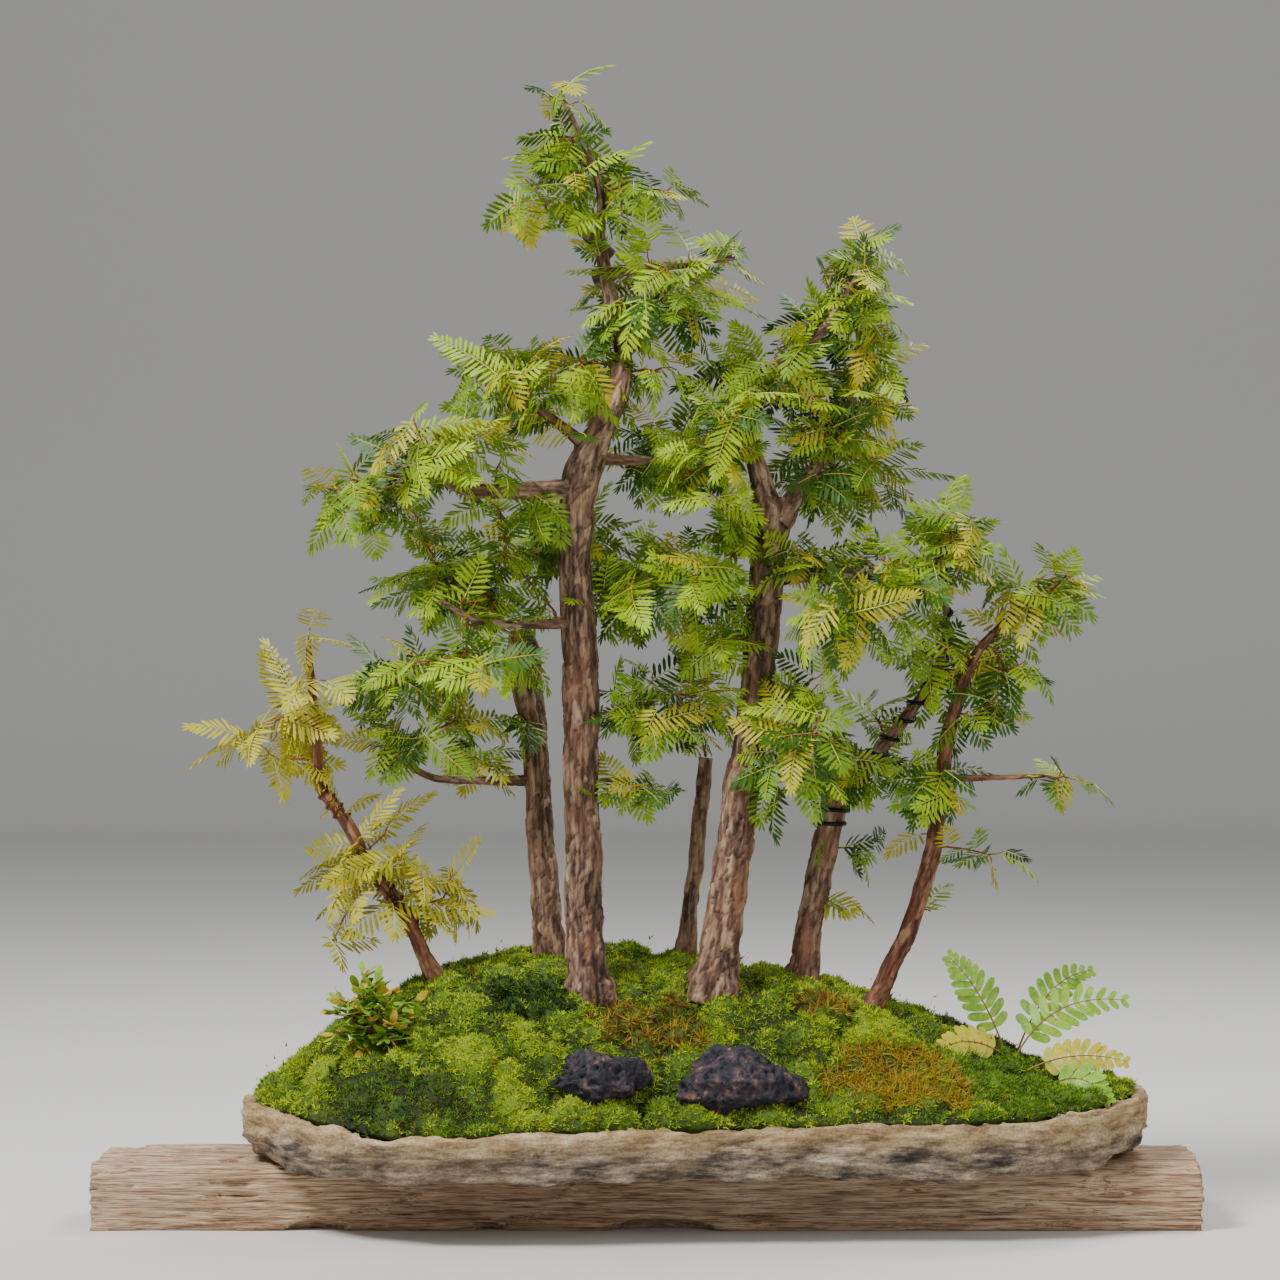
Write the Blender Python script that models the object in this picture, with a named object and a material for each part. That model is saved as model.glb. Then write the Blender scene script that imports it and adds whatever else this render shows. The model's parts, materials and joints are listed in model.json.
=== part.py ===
"""Dawn redwood forest bonsai: seven trunks on a moss mound, in a rock tray on a weathered board.

Metres, +Z up, +X to the right of the front view and +Y away from it. The origin is in the middle of
the board's underside. Sizes below are in millimetres.
"""

import math

import bmesh
import bpy
from mathutils import Vector, noise

MM = 0.001
CLEARANCE = 0.3
NAME = "dawn_redwood_bonsai_forest"

# Board: a weathered plank, its right end a little longer at the back
BOARD_LENGTH = 718
BOARD_DEPTH = 120
BOARD_THICKNESS = 42
BOARD_STATIONS = 14
BOARD_END_SLANT = 3
BOARD_FRONT_WEAR = 14
BOARD_BACK_WEAR = 20
BOARD_EDGE_DROP = 5.5
BOARD_ROUGHNESS = 1.5
BOARD_GRAIN = 60
BOARD_NOTCH = (22, 30)

# Chips out of the board's lower front edge: middle across, half length, half height
BOARD_CHIPS = ((-213, 22, 7), (-100, 10, 6), (10, 38, 8))

# Tray: a shallow slab of rock with a bowl in it, drawn through ten corners
TRAY_OUTLINE = (
    (-268, 5), (-245, -75), (-150, -147), (60, -132), (250, -112),
    (331, -20), (290, 95), (80, 147), (-150, 140), (-250, 80),
)
TRAY_SIDES = 32
TRAY_RIM = 76
TRAY_RIM_END_RISE = 8
TRAY_RIM_CORNER_DROP = 6
TRAY_CORNER = (-150, -147)
TRAY_CORNER_REACH = 60
TRAY_LIP_INSET = 7
TRAY_BOWL_INSET = 15
TRAY_BOWL_DROP = 6
TRAY_FLOOR_INSET = 28
TRAY_FLOOR = 56
TRAY_EDGE_INSET = 12
TRAY_EDGE_LOW = 39
TRAY_EDGE_OVER_BOARD = 47
TRAY_EDGE_FALL = (6, 18)
TRAY_WALL_INSET = 2
TRAY_WALL_HEIGHT = 58
TRAY_ROUGHNESS = 4
TRAY_GRAIN = 30

# Mound of soil and moss: highest behind the middle, falling to the rim on each side at its own rate
MOUND_CREST = (-25, 50)
MOUND_HEIGHT = 97
MOUND_INSET = 11
MOUND_EDGE = 3
MOUND_GAP = 0.75
MOUND_RINGS = (0.08, 0.24, 0.42, 0.6, 0.76, 0.9)
MOUND_FALL = {"left": (2.6, 1.0), "right": (2.0, 1.25), "front": (1.7, 1.2), "back": (2.0, 1.0)}
MOUND_ROUGHNESS = 2.5
MOUND_GRAIN = 45

# Two lava stones: middle across, middle deep, half length, half depth, half height
STONES = {"lava_stone_small": (-28, -106, 33, 20, 20), "lava_stone_large": (61, -100, 43, 26, 27)}
STONE_PROUD = 0.45

# Trunks from the ground up: across, deep, height, radius
TRUNK_SIDES_LEVEL = 2
SLIM_SIDES_LEVEL = 1
SLIM_FOOT_RADIUS = 9
LIMB_STEPS = 2
LIMB_MANY_STATIONS = 10
TRUNK_SUNK = 14
FOOT_SEAT = 1.5
TRUNKS = {
    "trunk_main": (
        (-38, -22, 154, 13.7), (-39, -22, 170, 12.1), (-41, -21, 223, 11.2), (-43, -20, 302, 10.8),
        (-43, -19, 347, 11.3), (-45, -18, 413, 10.7), (-45, -17, 462, 11.1), (-41, -17, 490, 13.1),
        (-30, -16, 516, 9.8), (-17, -12, 545, 7.5), (-16, -6, 574, 6.2), (-24, 0, 607, 4.9),
        (-30, 6, 644, 4.0), (-32, 9, 684, 2.6), (-56, 12, 742, 1.0),
    ),
    "trunk_second": (
        (43, -12, 156, 15.1), (47, -12, 174, 12.8), (56, -12, 236, 11.8), (65, -11, 298, 11.8),
        (73, -10, 347, 11.1), (78, -9, 406, 11.5), (82, -8, 452, 12.1), (83, -8, 474, 9.8),
    ),
    "trunk_back_left": (
        (-63, 55, 168, 11.4), (-66, 55, 195, 10.1), (-71, 56, 252, 9.1), (-75, 57, 313, 8.7),
        (-80, 58, 353, 9.8), (-83, 58, 373, 10.4), (-85, 58, 387, 6.7),
    ),
    "trunk_centre_slim": ((25, 45, 168, 7.0), (29, 45, 196, 5.7), (35, 45, 253, 5.4), (40, 46, 302, 4.8)),
    "trunk_right_stub": (
        (102, 25, 150, 12.0), (106, 25, 174, 9.6), (114, 27, 220, 9.0), (124, 28, 264, 8.6),
        (128, 28, 280, 10.0), (130, 28, 292, 7.3),
    ),
    "trunk_far_right": (
        (146, -4, 136, 8.2), (156, -4, 153, 6.2), (175, -2, 197, 5.6), (187, 0, 235, 5.3),
        (194, 2, 275, 4.9), (199, 3, 317, 4.5), (214, 5, 362, 3.6), (233, 5, 388, 2.6),
        (260, 5, 408, 1.8), (277, 5, 422, 1.0),
    ),
    "trunk_far_left": (
        (-138, 12, 155, 6.6), (-147, 12, 172, 5.0), (-163, 12, 205, 4.3), (-183, 13, 229, 4.4),
        (-200, 14, 261, 4.1), (-216, 15, 285, 3.8), (-218, 16, 314, 3.3), (-221, 17, 347, 2.8),
        (-224, 18, 380, 2.0),
    ),
}

# Main boughs, from inside the limb that bears them to inside their foliage
BOUGHS = {
    "bough_second_leader": (
        (80, -8, 465, 7.9), (73, -7, 492, 6.2), (65, -5, 518, 5.6), (70, -2, 541, 5.3),
        (95, 0, 566, 4.3), (121, 4, 590, 3.0), (149, 8, 637, 1.2),
    ),
    "bough_second_right_limb": (
        (91, -8, 464, 6.6), (105, -4, 486, 4.6), (124, 2, 513, 3.3), (136, 6, 542, 2.3), (143, 8, 575, 1.3),
    ),
    "bough_second_right": (
        (82, -9, 420, 5.2), (130, -18, 424, 3.9), (175, -22, 421, 3.3), (204, -18, 441, 2.3),
    ),
    "bough_main_left_low": (
        (-44, -17, 478, 5.9), (-82, -34, 477, 5.2), (-117, -44, 477, 4.2), (-138, -48, 491, 2.6),
    ),
    "bough_main_left_high": ((-38, -17, 505, 4.2), (-64, -28, 526, 2.9), (-87, -32, 539, 1.9)),
    "bough_main_right": ((-34, -16, 500, 4.2), (3, 0, 498, 2.8), (39, 14, 502, 1.7)),
    "bough_main_right_top": (
        (-26, 3, 620, 4.0), (-4, -6, 624, 3.3), (25, -12, 626, 2.6), (59, -16, 631, 2.0),
    ),
    "bough_main_left_top": ((-30, 6, 639, 3.3), (-51, -2, 655, 2.5), (-74, -8, 677, 1.6)),
    "bough_main_left_below": (
        (-44, -19, 392, 3.9), (-79, -36, 390, 2.9), (-107, -46, 392, 2.3), (-131, -50, 404, 1.6),
    ),
    "bough_back_left_high": ((-83, 58, 363, 3.6), (-119, 62, 365, 2.6), (-145, 60, 366, 1.9)),
    "bough_back_left_low": (
        (-74, 56, 285, 4.0), (-111, 44, 286, 2.7), (-145, 36, 289, 2.3), (-174, 32, 308, 1.7),
    ),
    "bough_right_stub_wired": (
        (128, 28, 282, 5.3), (155, 22, 308, 4.3), (172, 16, 328, 4.0), (191, 12, 357, 3.3),
        (198, 10, 387, 2.6), (196, 8, 423, 2.0), (189, 6, 452, 1.4),
    ),
    "bough_far_right_side": ((194, 2, 288, 2.8), (229, -8, 290, 1.8), (261, -14, 291, 1.3)),
}

# Masses of foliage: middle across, deep and high, then half width, half depth and half height
MASS_SEGMENTS = 10
MASS_RINGS = 6
FOLIAGE = {
    "foliage_main_top": (-44, 10, 707, 30, 28, 38),
    "foliage_main_top_left": (-80, -16, 675, 32, 32, 26),
    "foliage_main_top_right": (-4, 18, 672, 31, 30, 28),
    "foliage_main_neck": (3, 2, 604, 66, 50, 32),
    "foliage_main_upper": (-57, -4, 556, 84, 60, 32),
    "foliage_main_left": (-133, -56, 502, 54, 44, 36),
    "foliage_main_far_left": (-193, -22, 478, 36, 40, 36),
    "foliage_main_mid_left": (-132, 6, 423, 64, 56, 34),
    "foliage_main_right": (13, 30, 506, 42, 50, 34),
    "foliage_main_back": (-41, 50, 443, 46, 54, 44),
    "foliage_centre": (18, -8, 412, 52, 66, 38),
    "foliage_centre_low": (17, 4, 340, 50, 58, 32),
    "foliage_main_low_left": (-106, -54, 368, 48, 42, 26),
    "foliage_back_left_high": (-170, 66, 353, 38, 42, 28),
    "foliage_back_left_low": (-147, 48, 314, 58, 48, 26),
    "foliage_second_top": (127, 6, 604, 40, 36, 36),
    "foliage_second_crown": (78, 2, 556, 46, 58, 30),
    "foliage_second_right_high": (156, 20, 557, 27, 38, 32),
    "foliage_second_left": (43, -46, 501, 32, 46, 58),
    "foliage_second_right_mid": (134, 24, 490, 50, 54, 30),
    "foliage_second_far_right": (206, -6, 452, 32, 42, 36),
    "foliage_second_right_low": (133, -44, 394, 47, 46, 28),
    "foliage_second_low": (97, -34, 308, 34, 44, 54),
    "foliage_stub_right": (144, 40, 297, 34, 42, 26),
    "foliage_stub_wired": (188, 16, 373, 27, 40, 38),
    "foliage_far_right_top": (257, 6, 412, 34, 36, 30),
    "foliage_far_right_mid": (234, 4, 357, 30, 38, 28),
    "foliage_far_right_low": (188, -6, 291, 30, 36, 28),
    "foliage_far_right_side": (272, -14, 288, 26, 24, 14),
    "foliage_far_left_high": (-249, 14, 317, 36, 40, 52),
    "foliage_far_left_low": (-161, 10, 229, 58, 42, 44),
}

# Fern fronds: foot, arch top, tip, widest half width. The shrub is a mass on the mound
FROND_THICKNESS = 1.2
FROND_STATIONS = 9
FROND_STALK = 0.28
FROND_STALK_HALF = 1.5
FRONDS = {
    "fern_frond_left": ((236, -8), (222, -10, 150), (199, -12, 172), 14),
    "fern_frond_right": ((240, -8), (262, -4, 150), (315, 0, 143), 14),
    "fern_frond_low": ((258, -34), (280, -50, 108), (297, -62, 84), 12),
}
SHRUB = (-176, -56, 135, 36, 30, 34)

COLOURS = {
    "board": "a9805f", "tray": "8d8478", "mound": "6f7f1e", "lava_stone": "4a3a38",
    "fern": "a3c03c", "shrub": "4d7a2c", "trunk": "7d6049", "bough": "7a4f38", "foliage": "86b32f",
    "far_left": "c4b944",
}
ROUGHNESS = {"board": 0.8, "tray": 0.75, "mound": 0.95, "lava_stone": 0.7, "trunk": 0.8, "bough": 0.7}


def vec(x, y, z):
    """A place given in millimetres."""
    return Vector((x, y, z)) * MM


def linear(hex_colour):
    """An sRGB hex colour as linear RGBA."""
    parts = [int(hex_colour[i : i + 2], 16) / 255 for i in (0, 2, 4)]
    return [c / 12.92 if c <= 0.04045 else ((c + 0.055) / 1.055) ** 2.4 for c in parts] + [1.0]


def finish(name):
    """The material of one sub-part, by the kind of thing its name says it is."""
    kinds = [k for k in COLOURS if k in name]
    kind = "far_left" if "far_left" in kinds and name.startswith("foliage_far") else kinds[0]
    material = bpy.data.materials.new(name)
    material.use_nodes = True
    shader = material.node_tree.nodes["Principled BSDF"]
    shader.inputs["Base Color"].default_value = linear(COLOURS[kind])
    shader.inputs["Roughness"].default_value = ROUGHNESS.get(kind, 0.6)
    shader.inputs["Metallic"].default_value = 0.0
    return material


def add_object(name, mesh, collection):
    """A mesh as an object of a collection."""
    obj = bpy.data.objects.new(name, mesh)
    collection.objects.link(obj)
    return obj


def as_mesh(bm, name):
    """A bmesh as a mesh of triangles that face outward."""
    bmesh.ops.triangulate(bm, faces=bm.faces)
    bmesh.ops.recalc_face_normals(bm, faces=bm.faces)
    mesh = bpy.data.meshes.new(name)
    bm.to_mesh(mesh)
    bm.free()
    return mesh


def loft(rings):
    """A closed solid through rings with the same number of points, capped at both ends."""
    bm = bmesh.new()
    loops = [[bm.verts.new(point) for point in ring] for ring in rings]
    sides = len(loops[0])
    for low, high in zip(loops, loops[1:]):
        for i in range(sides):
            j = (i + 1) % sides
            bm.faces.new((low[i], low[j], high[j]))
            bm.faces.new((low[i], high[j], high[i]))
    for loop in (loops[0], loops[-1]):
        middle = bm.verts.new(sum((v.co for v in loop), Vector()) / sides)
        for i in range(sides):
            bm.faces.new((loop[i], loop[(i + 1) % sides], middle))
    return bm


def closed_outline(corners, count, steps=24):
    """Evenly spread points on a smooth closed line through the corners."""
    dense = []
    total = len(corners)
    for i in range(total):
        a, b, c, d = (Vector(corners[(i + k) % total]) for k in (-1, 0, 1, 2))
        square = 2 * a - 5 * b + 4 * c - d
        cube = 3 * b - a - 3 * c + d
        for s in range(steps):
            t = s / steps
            dense.append((2 * b + (c - a) * t + square * t**2 + cube * t**3) / 2)
    lengths = [0.0]
    for p, q in zip(dense, dense[1:] + dense[:1]):
        lengths.append(lengths[-1] + (q - p).length)
    points = []
    for k in range(count):
        goal = lengths[-1] * k / count
        i = max(n for n, reached in enumerate(lengths[:-1]) if reached <= goal)
        points.append(dense[i])
    return points


OUTLINE = closed_outline(TRAY_OUTLINE, TRAY_SIDES)


def inset(point, distance):
    """An outline point moved towards the tray's middle."""
    return point * (1 - distance / point.length)


def rim_height(point):
    """The rim rises at the tray's ends and dips at its front left corner."""
    rise = TRAY_RIM_END_RISE * abs(point.x / 300) ** 3
    gap = (point - Vector(TRAY_CORNER)).length / TRAY_CORNER_REACH
    return TRAY_RIM + rise - TRAY_RIM_CORNER_DROP * math.exp(-gap * gap)


def ragged(point, size, grain, seed=0):
    """Smooth unevenness at a place of the plan."""
    return size * noise.noise(Vector((point.x / grain, point.y / grain, seed)))


def lip_height(point):
    """The uneven top of the rim."""
    return rim_height(point) + ragged(point, TRAY_ROUGHNESS / 2, TRAY_GRAIN, 5)


def mound_height(x, y):
    """Height of the moss at a place, from the crest down to the rim."""
    crest = Vector(MOUND_CREST)
    out = Vector((x, y)) - crest
    if out.length < 1:
        return TRAY_RIM + MOUND_HEIGHT
    way = out.normalized()
    best = min(OUTLINE, key=lambda p: -(inset(p, MOUND_INSET) - crest).normalized().dot(way))
    share = min(1.0, out.length / (inset(best, MOUND_INSET) - crest).length)
    side = MOUND_FALL["right" if way.x > 0 else "left"]
    depth = MOUND_FALL["back" if way.y > 0 else "front"]
    bend, fall = (side[k] * way.x**2 + depth[k] * way.y**2 for k in (0, 1))
    height = TRAY_RIM + MOUND_HEIGHT * max(0.0, 1 - share**bend) ** fall
    return height + ragged(Vector((x, y)), MOUND_ROUGHNESS, MOUND_GRAIN, 4)


def make_board():
    """The plank: level under and flat where the tray rests, worn along its upper edges."""
    half = BOARD_LENGTH / 2
    back = BOARD_DEPTH / 2
    top = BOARD_THICKNESS
    worn = top - BOARD_EDGE_DROP
    rings = []
    for i in range(BOARD_STATIONS + 1):
        x = -half + BOARD_LENGTH * i / BOARD_STATIONS
        a, b, c, d, e = (ragged(Vector((x, 400 * k)), BOARD_ROUGHNESS, BOARD_GRAIN, 1.5) for k in range(5))
        slant = BOARD_END_SLANT if i == BOARD_STATIONS else 0
        section = (
            (-back - a, 0), (back + b, 0),
            (back + c, worn), (back - BOARD_EDGE_DROP, top - BOARD_ROUGHNESS + d),
            (back - BOARD_BACK_WEAR, top), (-back + BOARD_FRONT_WEAR, top),
            (-back + BOARD_EDGE_DROP, top - BOARD_ROUGHNESS + e), (-back - e, worn),
        )
        rings.append([vec(x + (slant if y > 0 else 0), y, z) for y, z in section])
    return as_mesh(loft(rings), "board")


def cutter_mesh(name, bm, half, middle):
    """A unit shape brought to its half sizes and its place, as a mesh."""
    bmesh.ops.scale(bm, vec=vec(*half), verts=bm.verts)
    bmesh.ops.translate(bm, vec=vec(*middle), verts=bm.verts)
    return as_mesh(bm, name)


def board_cutters():
    """What the weather has taken from the board: a notch at its back left corner and chips below."""
    front = -BOARD_DEPTH / 2
    bm = bmesh.new()
    bmesh.ops.create_cube(bm, size=2)
    corner = (-BOARD_LENGTH / 2, -front, BOARD_THICKNESS / 2)
    cutters = [cutter_mesh("board_notch", bm, (*BOARD_NOTCH, BOARD_THICKNESS), corner)]
    for i, (x, length, height) in enumerate(BOARD_CHIPS):
        bm = bmesh.new()
        bmesh.ops.create_uvsphere(bm, u_segments=8, v_segments=5, radius=1)
        cutters.append(cutter_mesh(f"board_chip_{i + 1}", bm, (length, 2 * height, height), (x, front, 0)))
    return cutters


def tray_lower_edge(point):
    """The wall's foot: clear of the board where it crosses it, hanging lower in front of it and behind."""
    start, end = TRAY_EDGE_FALL
    beyond = min(1.0, max(0.0, (abs(point.y) - BOARD_DEPTH / 2 - start) / (end - start)))
    return TRAY_EDGE_OVER_BOARD + (TRAY_EDGE_LOW - TRAY_EDGE_OVER_BOARD) * beyond


def make_tray():
    """The rock slab: flat under, a rough wall, an uneven lip and a shallow bowl."""

    def rough(p, seed):
        return ragged(p, TRAY_ROUGHNESS, TRAY_GRAIN, seed)

    rings = (
        [(inset(p, TRAY_FLOOR_INSET), BOARD_THICKNESS + CLEARANCE * 1.5) for p in OUTLINE],
        [(inset(p, TRAY_EDGE_INSET + rough(p, 0)), tray_lower_edge(p)) for p in OUTLINE],
        [(inset(p, TRAY_WALL_INSET + rough(p, 2)), TRAY_WALL_HEIGHT + rough(p, 3)) for p in OUTLINE],
        [(inset(p, TRAY_WALL_INSET), rim_height(p) - TRAY_ROUGHNESS) for p in OUTLINE],
        [(inset(p, TRAY_LIP_INSET), lip_height(p)) for p in OUTLINE],
        [(inset(p, TRAY_BOWL_INSET), rim_height(p) - TRAY_BOWL_DROP) for p in OUTLINE],
        [(inset(p, TRAY_FLOOR_INSET), TRAY_FLOOR) for p in OUTLINE],
    )
    return as_mesh(loft([[vec(p.x, p.y, z) for p, z in ring] for ring in rings]), "tray")


def make_mound():
    """Soil and moss: the outline drawn in towards the crest above, and rings that follow the bowl below."""
    crest = Vector(MOUND_CREST)
    gap = MOUND_GAP
    share = (MOUND_INSET - TRAY_LIP_INSET) / (TRAY_BOWL_INSET - TRAY_LIP_INSET)

    def edge_height(p):
        return (1 - share) * lip_height(p) + share * (rim_height(p) - TRAY_BOWL_DROP) + gap

    rings = []
    for share_out in MOUND_RINGS:
        points = [crest + (inset(p, MOUND_INSET) - crest) * share_out for p in OUTLINE]
        rings.append([(p, mound_height(p.x, p.y)) for p in points])
    rings += [
        [(inset(p, MOUND_INSET), edge_height(p) + MOUND_EDGE) for p in OUTLINE],
        [(inset(p, MOUND_INSET), edge_height(p)) for p in OUTLINE],
        [(inset(p, TRAY_BOWL_INSET + gap), rim_height(p) - TRAY_BOWL_DROP + gap) for p in OUTLINE],
        [(inset(p, TRAY_FLOOR_INSET + gap), TRAY_FLOOR + gap) for p in OUTLINE],
    ]
    return as_mesh(loft([[vec(p.x, p.y, z) for p, z in ring] for ring in rings]), "moss_mound")


def limb_curve(name, stations):
    """One tapering limb: a smooth curve through its stations, each with its own radius."""
    curve = bpy.data.curves.new(name, "CURVE")
    curve.dimensions = "3D"
    curve.bevel_depth = MM
    thick = stations[0][3] > SLIM_FOOT_RADIUS
    curve.bevel_resolution = TRUNK_SIDES_LEVEL if thick else SLIM_SIDES_LEVEL
    curve.use_fill_caps = True
    curve.resolution_u = 1 if len(stations) >= LIMB_MANY_STATIONS else LIMB_STEPS
    spline = curve.splines.new("BEZIER")
    spline.bezier_points.add(len(stations) - 1)
    for point, (x, y, z, radius) in zip(spline.bezier_points, stations):
        point.co = vec(x, y, z)
        point.radius = radius
        point.handle_left_type = point.handle_right_type = "AUTO"
    return curve


def limb_mesh(name, stations, foot=None):
    """A limb as a mesh. With a foot height, it ends there in a level cut."""
    guide = bpy.data.objects.new(name, limb_curve(name, stations))
    bpy.context.scene.collection.objects.link(guide)
    mesh = bpy.data.meshes.new_from_object(guide.evaluated_get(bpy.context.evaluated_depsgraph_get()))
    bpy.data.objects.remove(guide)
    bm = bmesh.new()
    bm.from_mesh(mesh)
    bmesh.ops.remove_doubles(bm, verts=bm.verts, dist=0.01 * MM)
    if foot is not None:
        whole = bm.verts[:] + bm.edges[:] + bm.faces[:]
        ground = vec(0, 0, foot)
        bmesh.ops.bisect_plane(bm, geom=whole, plane_co=ground, plane_no=(0, 0, -1), clear_outer=True)
        bmesh.ops.holes_fill(bm, edges=[e for e in bm.edges if e.is_boundary])
    return as_mesh(bm, name)


def make_trunk(name, stations):
    """A trunk that runs on into the ground and is cut level at the lowest soil round its foot."""
    x, y, z, radius = stations[0]
    ways = [math.tau * k / 8 for k in range(8)]
    foot = min(mound_height(x + radius * math.cos(a), y + radius * math.sin(a)) for a in ways)
    first, second = (Vector(s[:3]) for s in stations[:2])
    below = first + (first - second) * (TRUNK_SUNK / (second.z - first.z))
    return limb_mesh(name, ((*below, radius * 1.04), *stations), foot - FOOT_SEAT)


def make_lump(name, middle, half, segments, rings, seed, unevenness=0.3):
    """An uneven solid: a ball pushed in and out by smooth noise, then fitted to its three half sizes."""
    bm = bmesh.new()
    bmesh.ops.create_uvsphere(bm, u_segments=segments, v_segments=rings, radius=1)
    for v in bm.verts:
        way = v.co.normalized()
        broad = noise.noise(way * 1.3 + Vector((seed * 3.7, 0, 0)))
        fine = noise.noise(way * 2.9 - Vector((0, seed, 0)))
        v.co = way * (1 + unevenness * (broad + 0.5 * fine))
    for axis in range(3):
        low = min(v.co[axis] for v in bm.verts)
        high = max(v.co[axis] for v in bm.verts)
        for v in bm.verts:
            v.co[axis] = (middle[axis] + half[axis] * (2 * (v.co[axis] - low) / (high - low) - 1)) * MM
    return as_mesh(bm, name)


def make_stone(name, place, seed):
    """A lava stone, seated in the mound by what is not proud of it."""
    x, y, half_length, half_depth, half_height = place
    middle = (x, y, mound_height(x, y) + STONE_PROUD * half_height)
    return make_lump(name, middle, (half_length, half_depth, half_height), 10, 7, seed, 0.45)


def make_frond(name, foot, arch, tip, half_width):
    """A frond's outline as a thin blade on an arching line: a bare stalk, then widest early, then a taper."""
    start = vec(*foot, mound_height(*foot) - 3)
    arch, tip = vec(*arch), vec(*tip)
    across = (tip - start).cross(Vector((0, 0, 1))).normalized()
    rings = []
    for i in range(FROND_STATIONS):
        t = i / (FROND_STATIONS - 1)
        middle = start * (1 - t) ** 2 + arch * (2 * t * (1 - t)) + tip * t * t
        along = ((arch - start) * (1 - t) + (tip - arch) * t).normalized()
        grown = max(0.0, (t - FROND_STALK) / (1 - FROND_STALK))
        half = FROND_STALK_HALF + (half_width - FROND_STALK_HALF) * math.sin(math.pi * grown**0.6) ** 0.8
        out = across * half * MM
        up = across.cross(along).normalized() * (FROND_THICKNESS / 2 * MM)
        rings.append([middle - out - up, middle + out - up, middle + out + up, middle - out + up])
    return as_mesh(loft(rings), name)


def grown(mesh):
    """A copy of a solid with every face moved out by the clearance."""
    bm = bmesh.new()
    bm.from_mesh(mesh)
    bm.normal_update()
    moved = [v.co + v.normal * (CLEARANCE * MM * min(v.calc_shell_factor(), 2.5)) for v in bm.verts]
    for v, place in zip(bm.verts, moved):
        v.co = place
    return as_mesh(bm, mesh.name + "_clearance")


def meets(a, b):
    """Whether the boxes of two objects overlap."""
    spans = [[(min(c), max(c)) for c in zip(*(v.co for v in o.data.vertices))] for o in (a, b)]
    return all(p[0] < q[1] and q[0] < p[1] for p, q in zip(*spans))


def largest_piece(mesh):
    """Leaves only the largest connected piece of a mesh, so a cut leaves no crumbs."""
    bm = bmesh.new()
    bm.from_mesh(mesh)
    bmesh.ops.remove_doubles(bm, verts=bm.verts, dist=0.002 * MM)
    pieces, seen = [], set()
    for start in bm.verts:
        if start in seen:
            continue
        piece, edge_of = {start}, [start]
        while edge_of:
            for e in edge_of.pop().link_edges:
                for v in e.verts:
                    if v not in piece:
                        piece.add(v)
                        edge_of.append(v)
        seen |= piece
        pieces.append(piece)
    keep = max(pieces, key=len)
    bmesh.ops.delete(bm, geom=[v for v in bm.verts if v not in keep], context="VERTS")
    bmesh.ops.triangulate(bm, faces=bm.faces)
    bm.to_mesh(mesh)
    bm.free()


def cut(obj, cutters):
    """Takes the cutters out of an object."""
    if not cutters:
        return
    for cutter in cutters:
        step = obj.modifiers.new(cutter.name, "BOOLEAN")
        step.operation = "DIFFERENCE"
        step.solver = "EXACT"
        step.object = cutter
    mesh = bpy.data.meshes.new_from_object(obj.evaluated_get(bpy.context.evaluated_depsgraph_get()))
    obj.modifiers.clear()
    largest_piece(mesh)
    obj.data = mesh


def solids():
    """Every sub-part's whole shape, those that hold their shape before those that give way to them."""
    shapes = {"board": make_board(), "tray": make_tray()}
    for name, stations in TRUNKS.items():
        shapes[name] = make_trunk(name, stations)
    for name, stations in BOUGHS.items():
        shapes[name] = limb_mesh(name, stations)
    for seed, (name, place) in enumerate(STONES.items()):
        shapes[name] = make_stone(name, place, seed + 50)
    shapes["moss_mound"] = make_mound()
    for name, (foot, arch, tip, half_width) in FRONDS.items():
        shapes[name] = make_frond(name, foot, arch, tip, half_width)
    masses = {**FOLIAGE, "shrub": SHRUB}
    for seed, (name, place) in enumerate(masses.items()):
        shapes[name] = make_lump(name, place[:3], place[3:], MASS_SEGMENTS, MASS_RINGS, seed)
    return shapes


def main():
    for obj in list(bpy.data.objects):
        bpy.data.objects.remove(obj)
    scene = bpy.context.scene
    parts = bpy.data.collections.new(NAME)
    cutters = bpy.data.collections.new("cutters")
    scene.collection.children.link(parts)
    scene.collection.children.link(cutters)

    def add_cutter(mesh):
        cutter = add_object(mesh.name, mesh, cutters)
        cutter.hide_render = True
        cutter.display_type = "WIRE"
        return cutter

    clearances = []
    for name, mesh in solids().items():
        obj = add_object(name, mesh, parts)
        own = [add_cutter(m) for m in board_cutters()] if name == "board" else []
        clearance = add_cutter(grown(mesh))
        cut(obj, own + [c for c in clearances if meets(obj, c)])
        obj.data.name = name
        obj.data.materials.clear()
        obj.data.materials.append(finish(name))
        obj.data.shade_smooth()
        obj.data.set_sharp_from_angle(angle=math.radians(50))
        clearances.append(clearance)


main()
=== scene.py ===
"""Dawn redwood forest bonsai: its trees, moss mound, stones, ferns, shrub, tray and board."""

import json
import math

import bpy
import numpy as np
from mathutils import Matrix, Vector, noise
from mathutils.bvhtree import BVHTree

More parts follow.
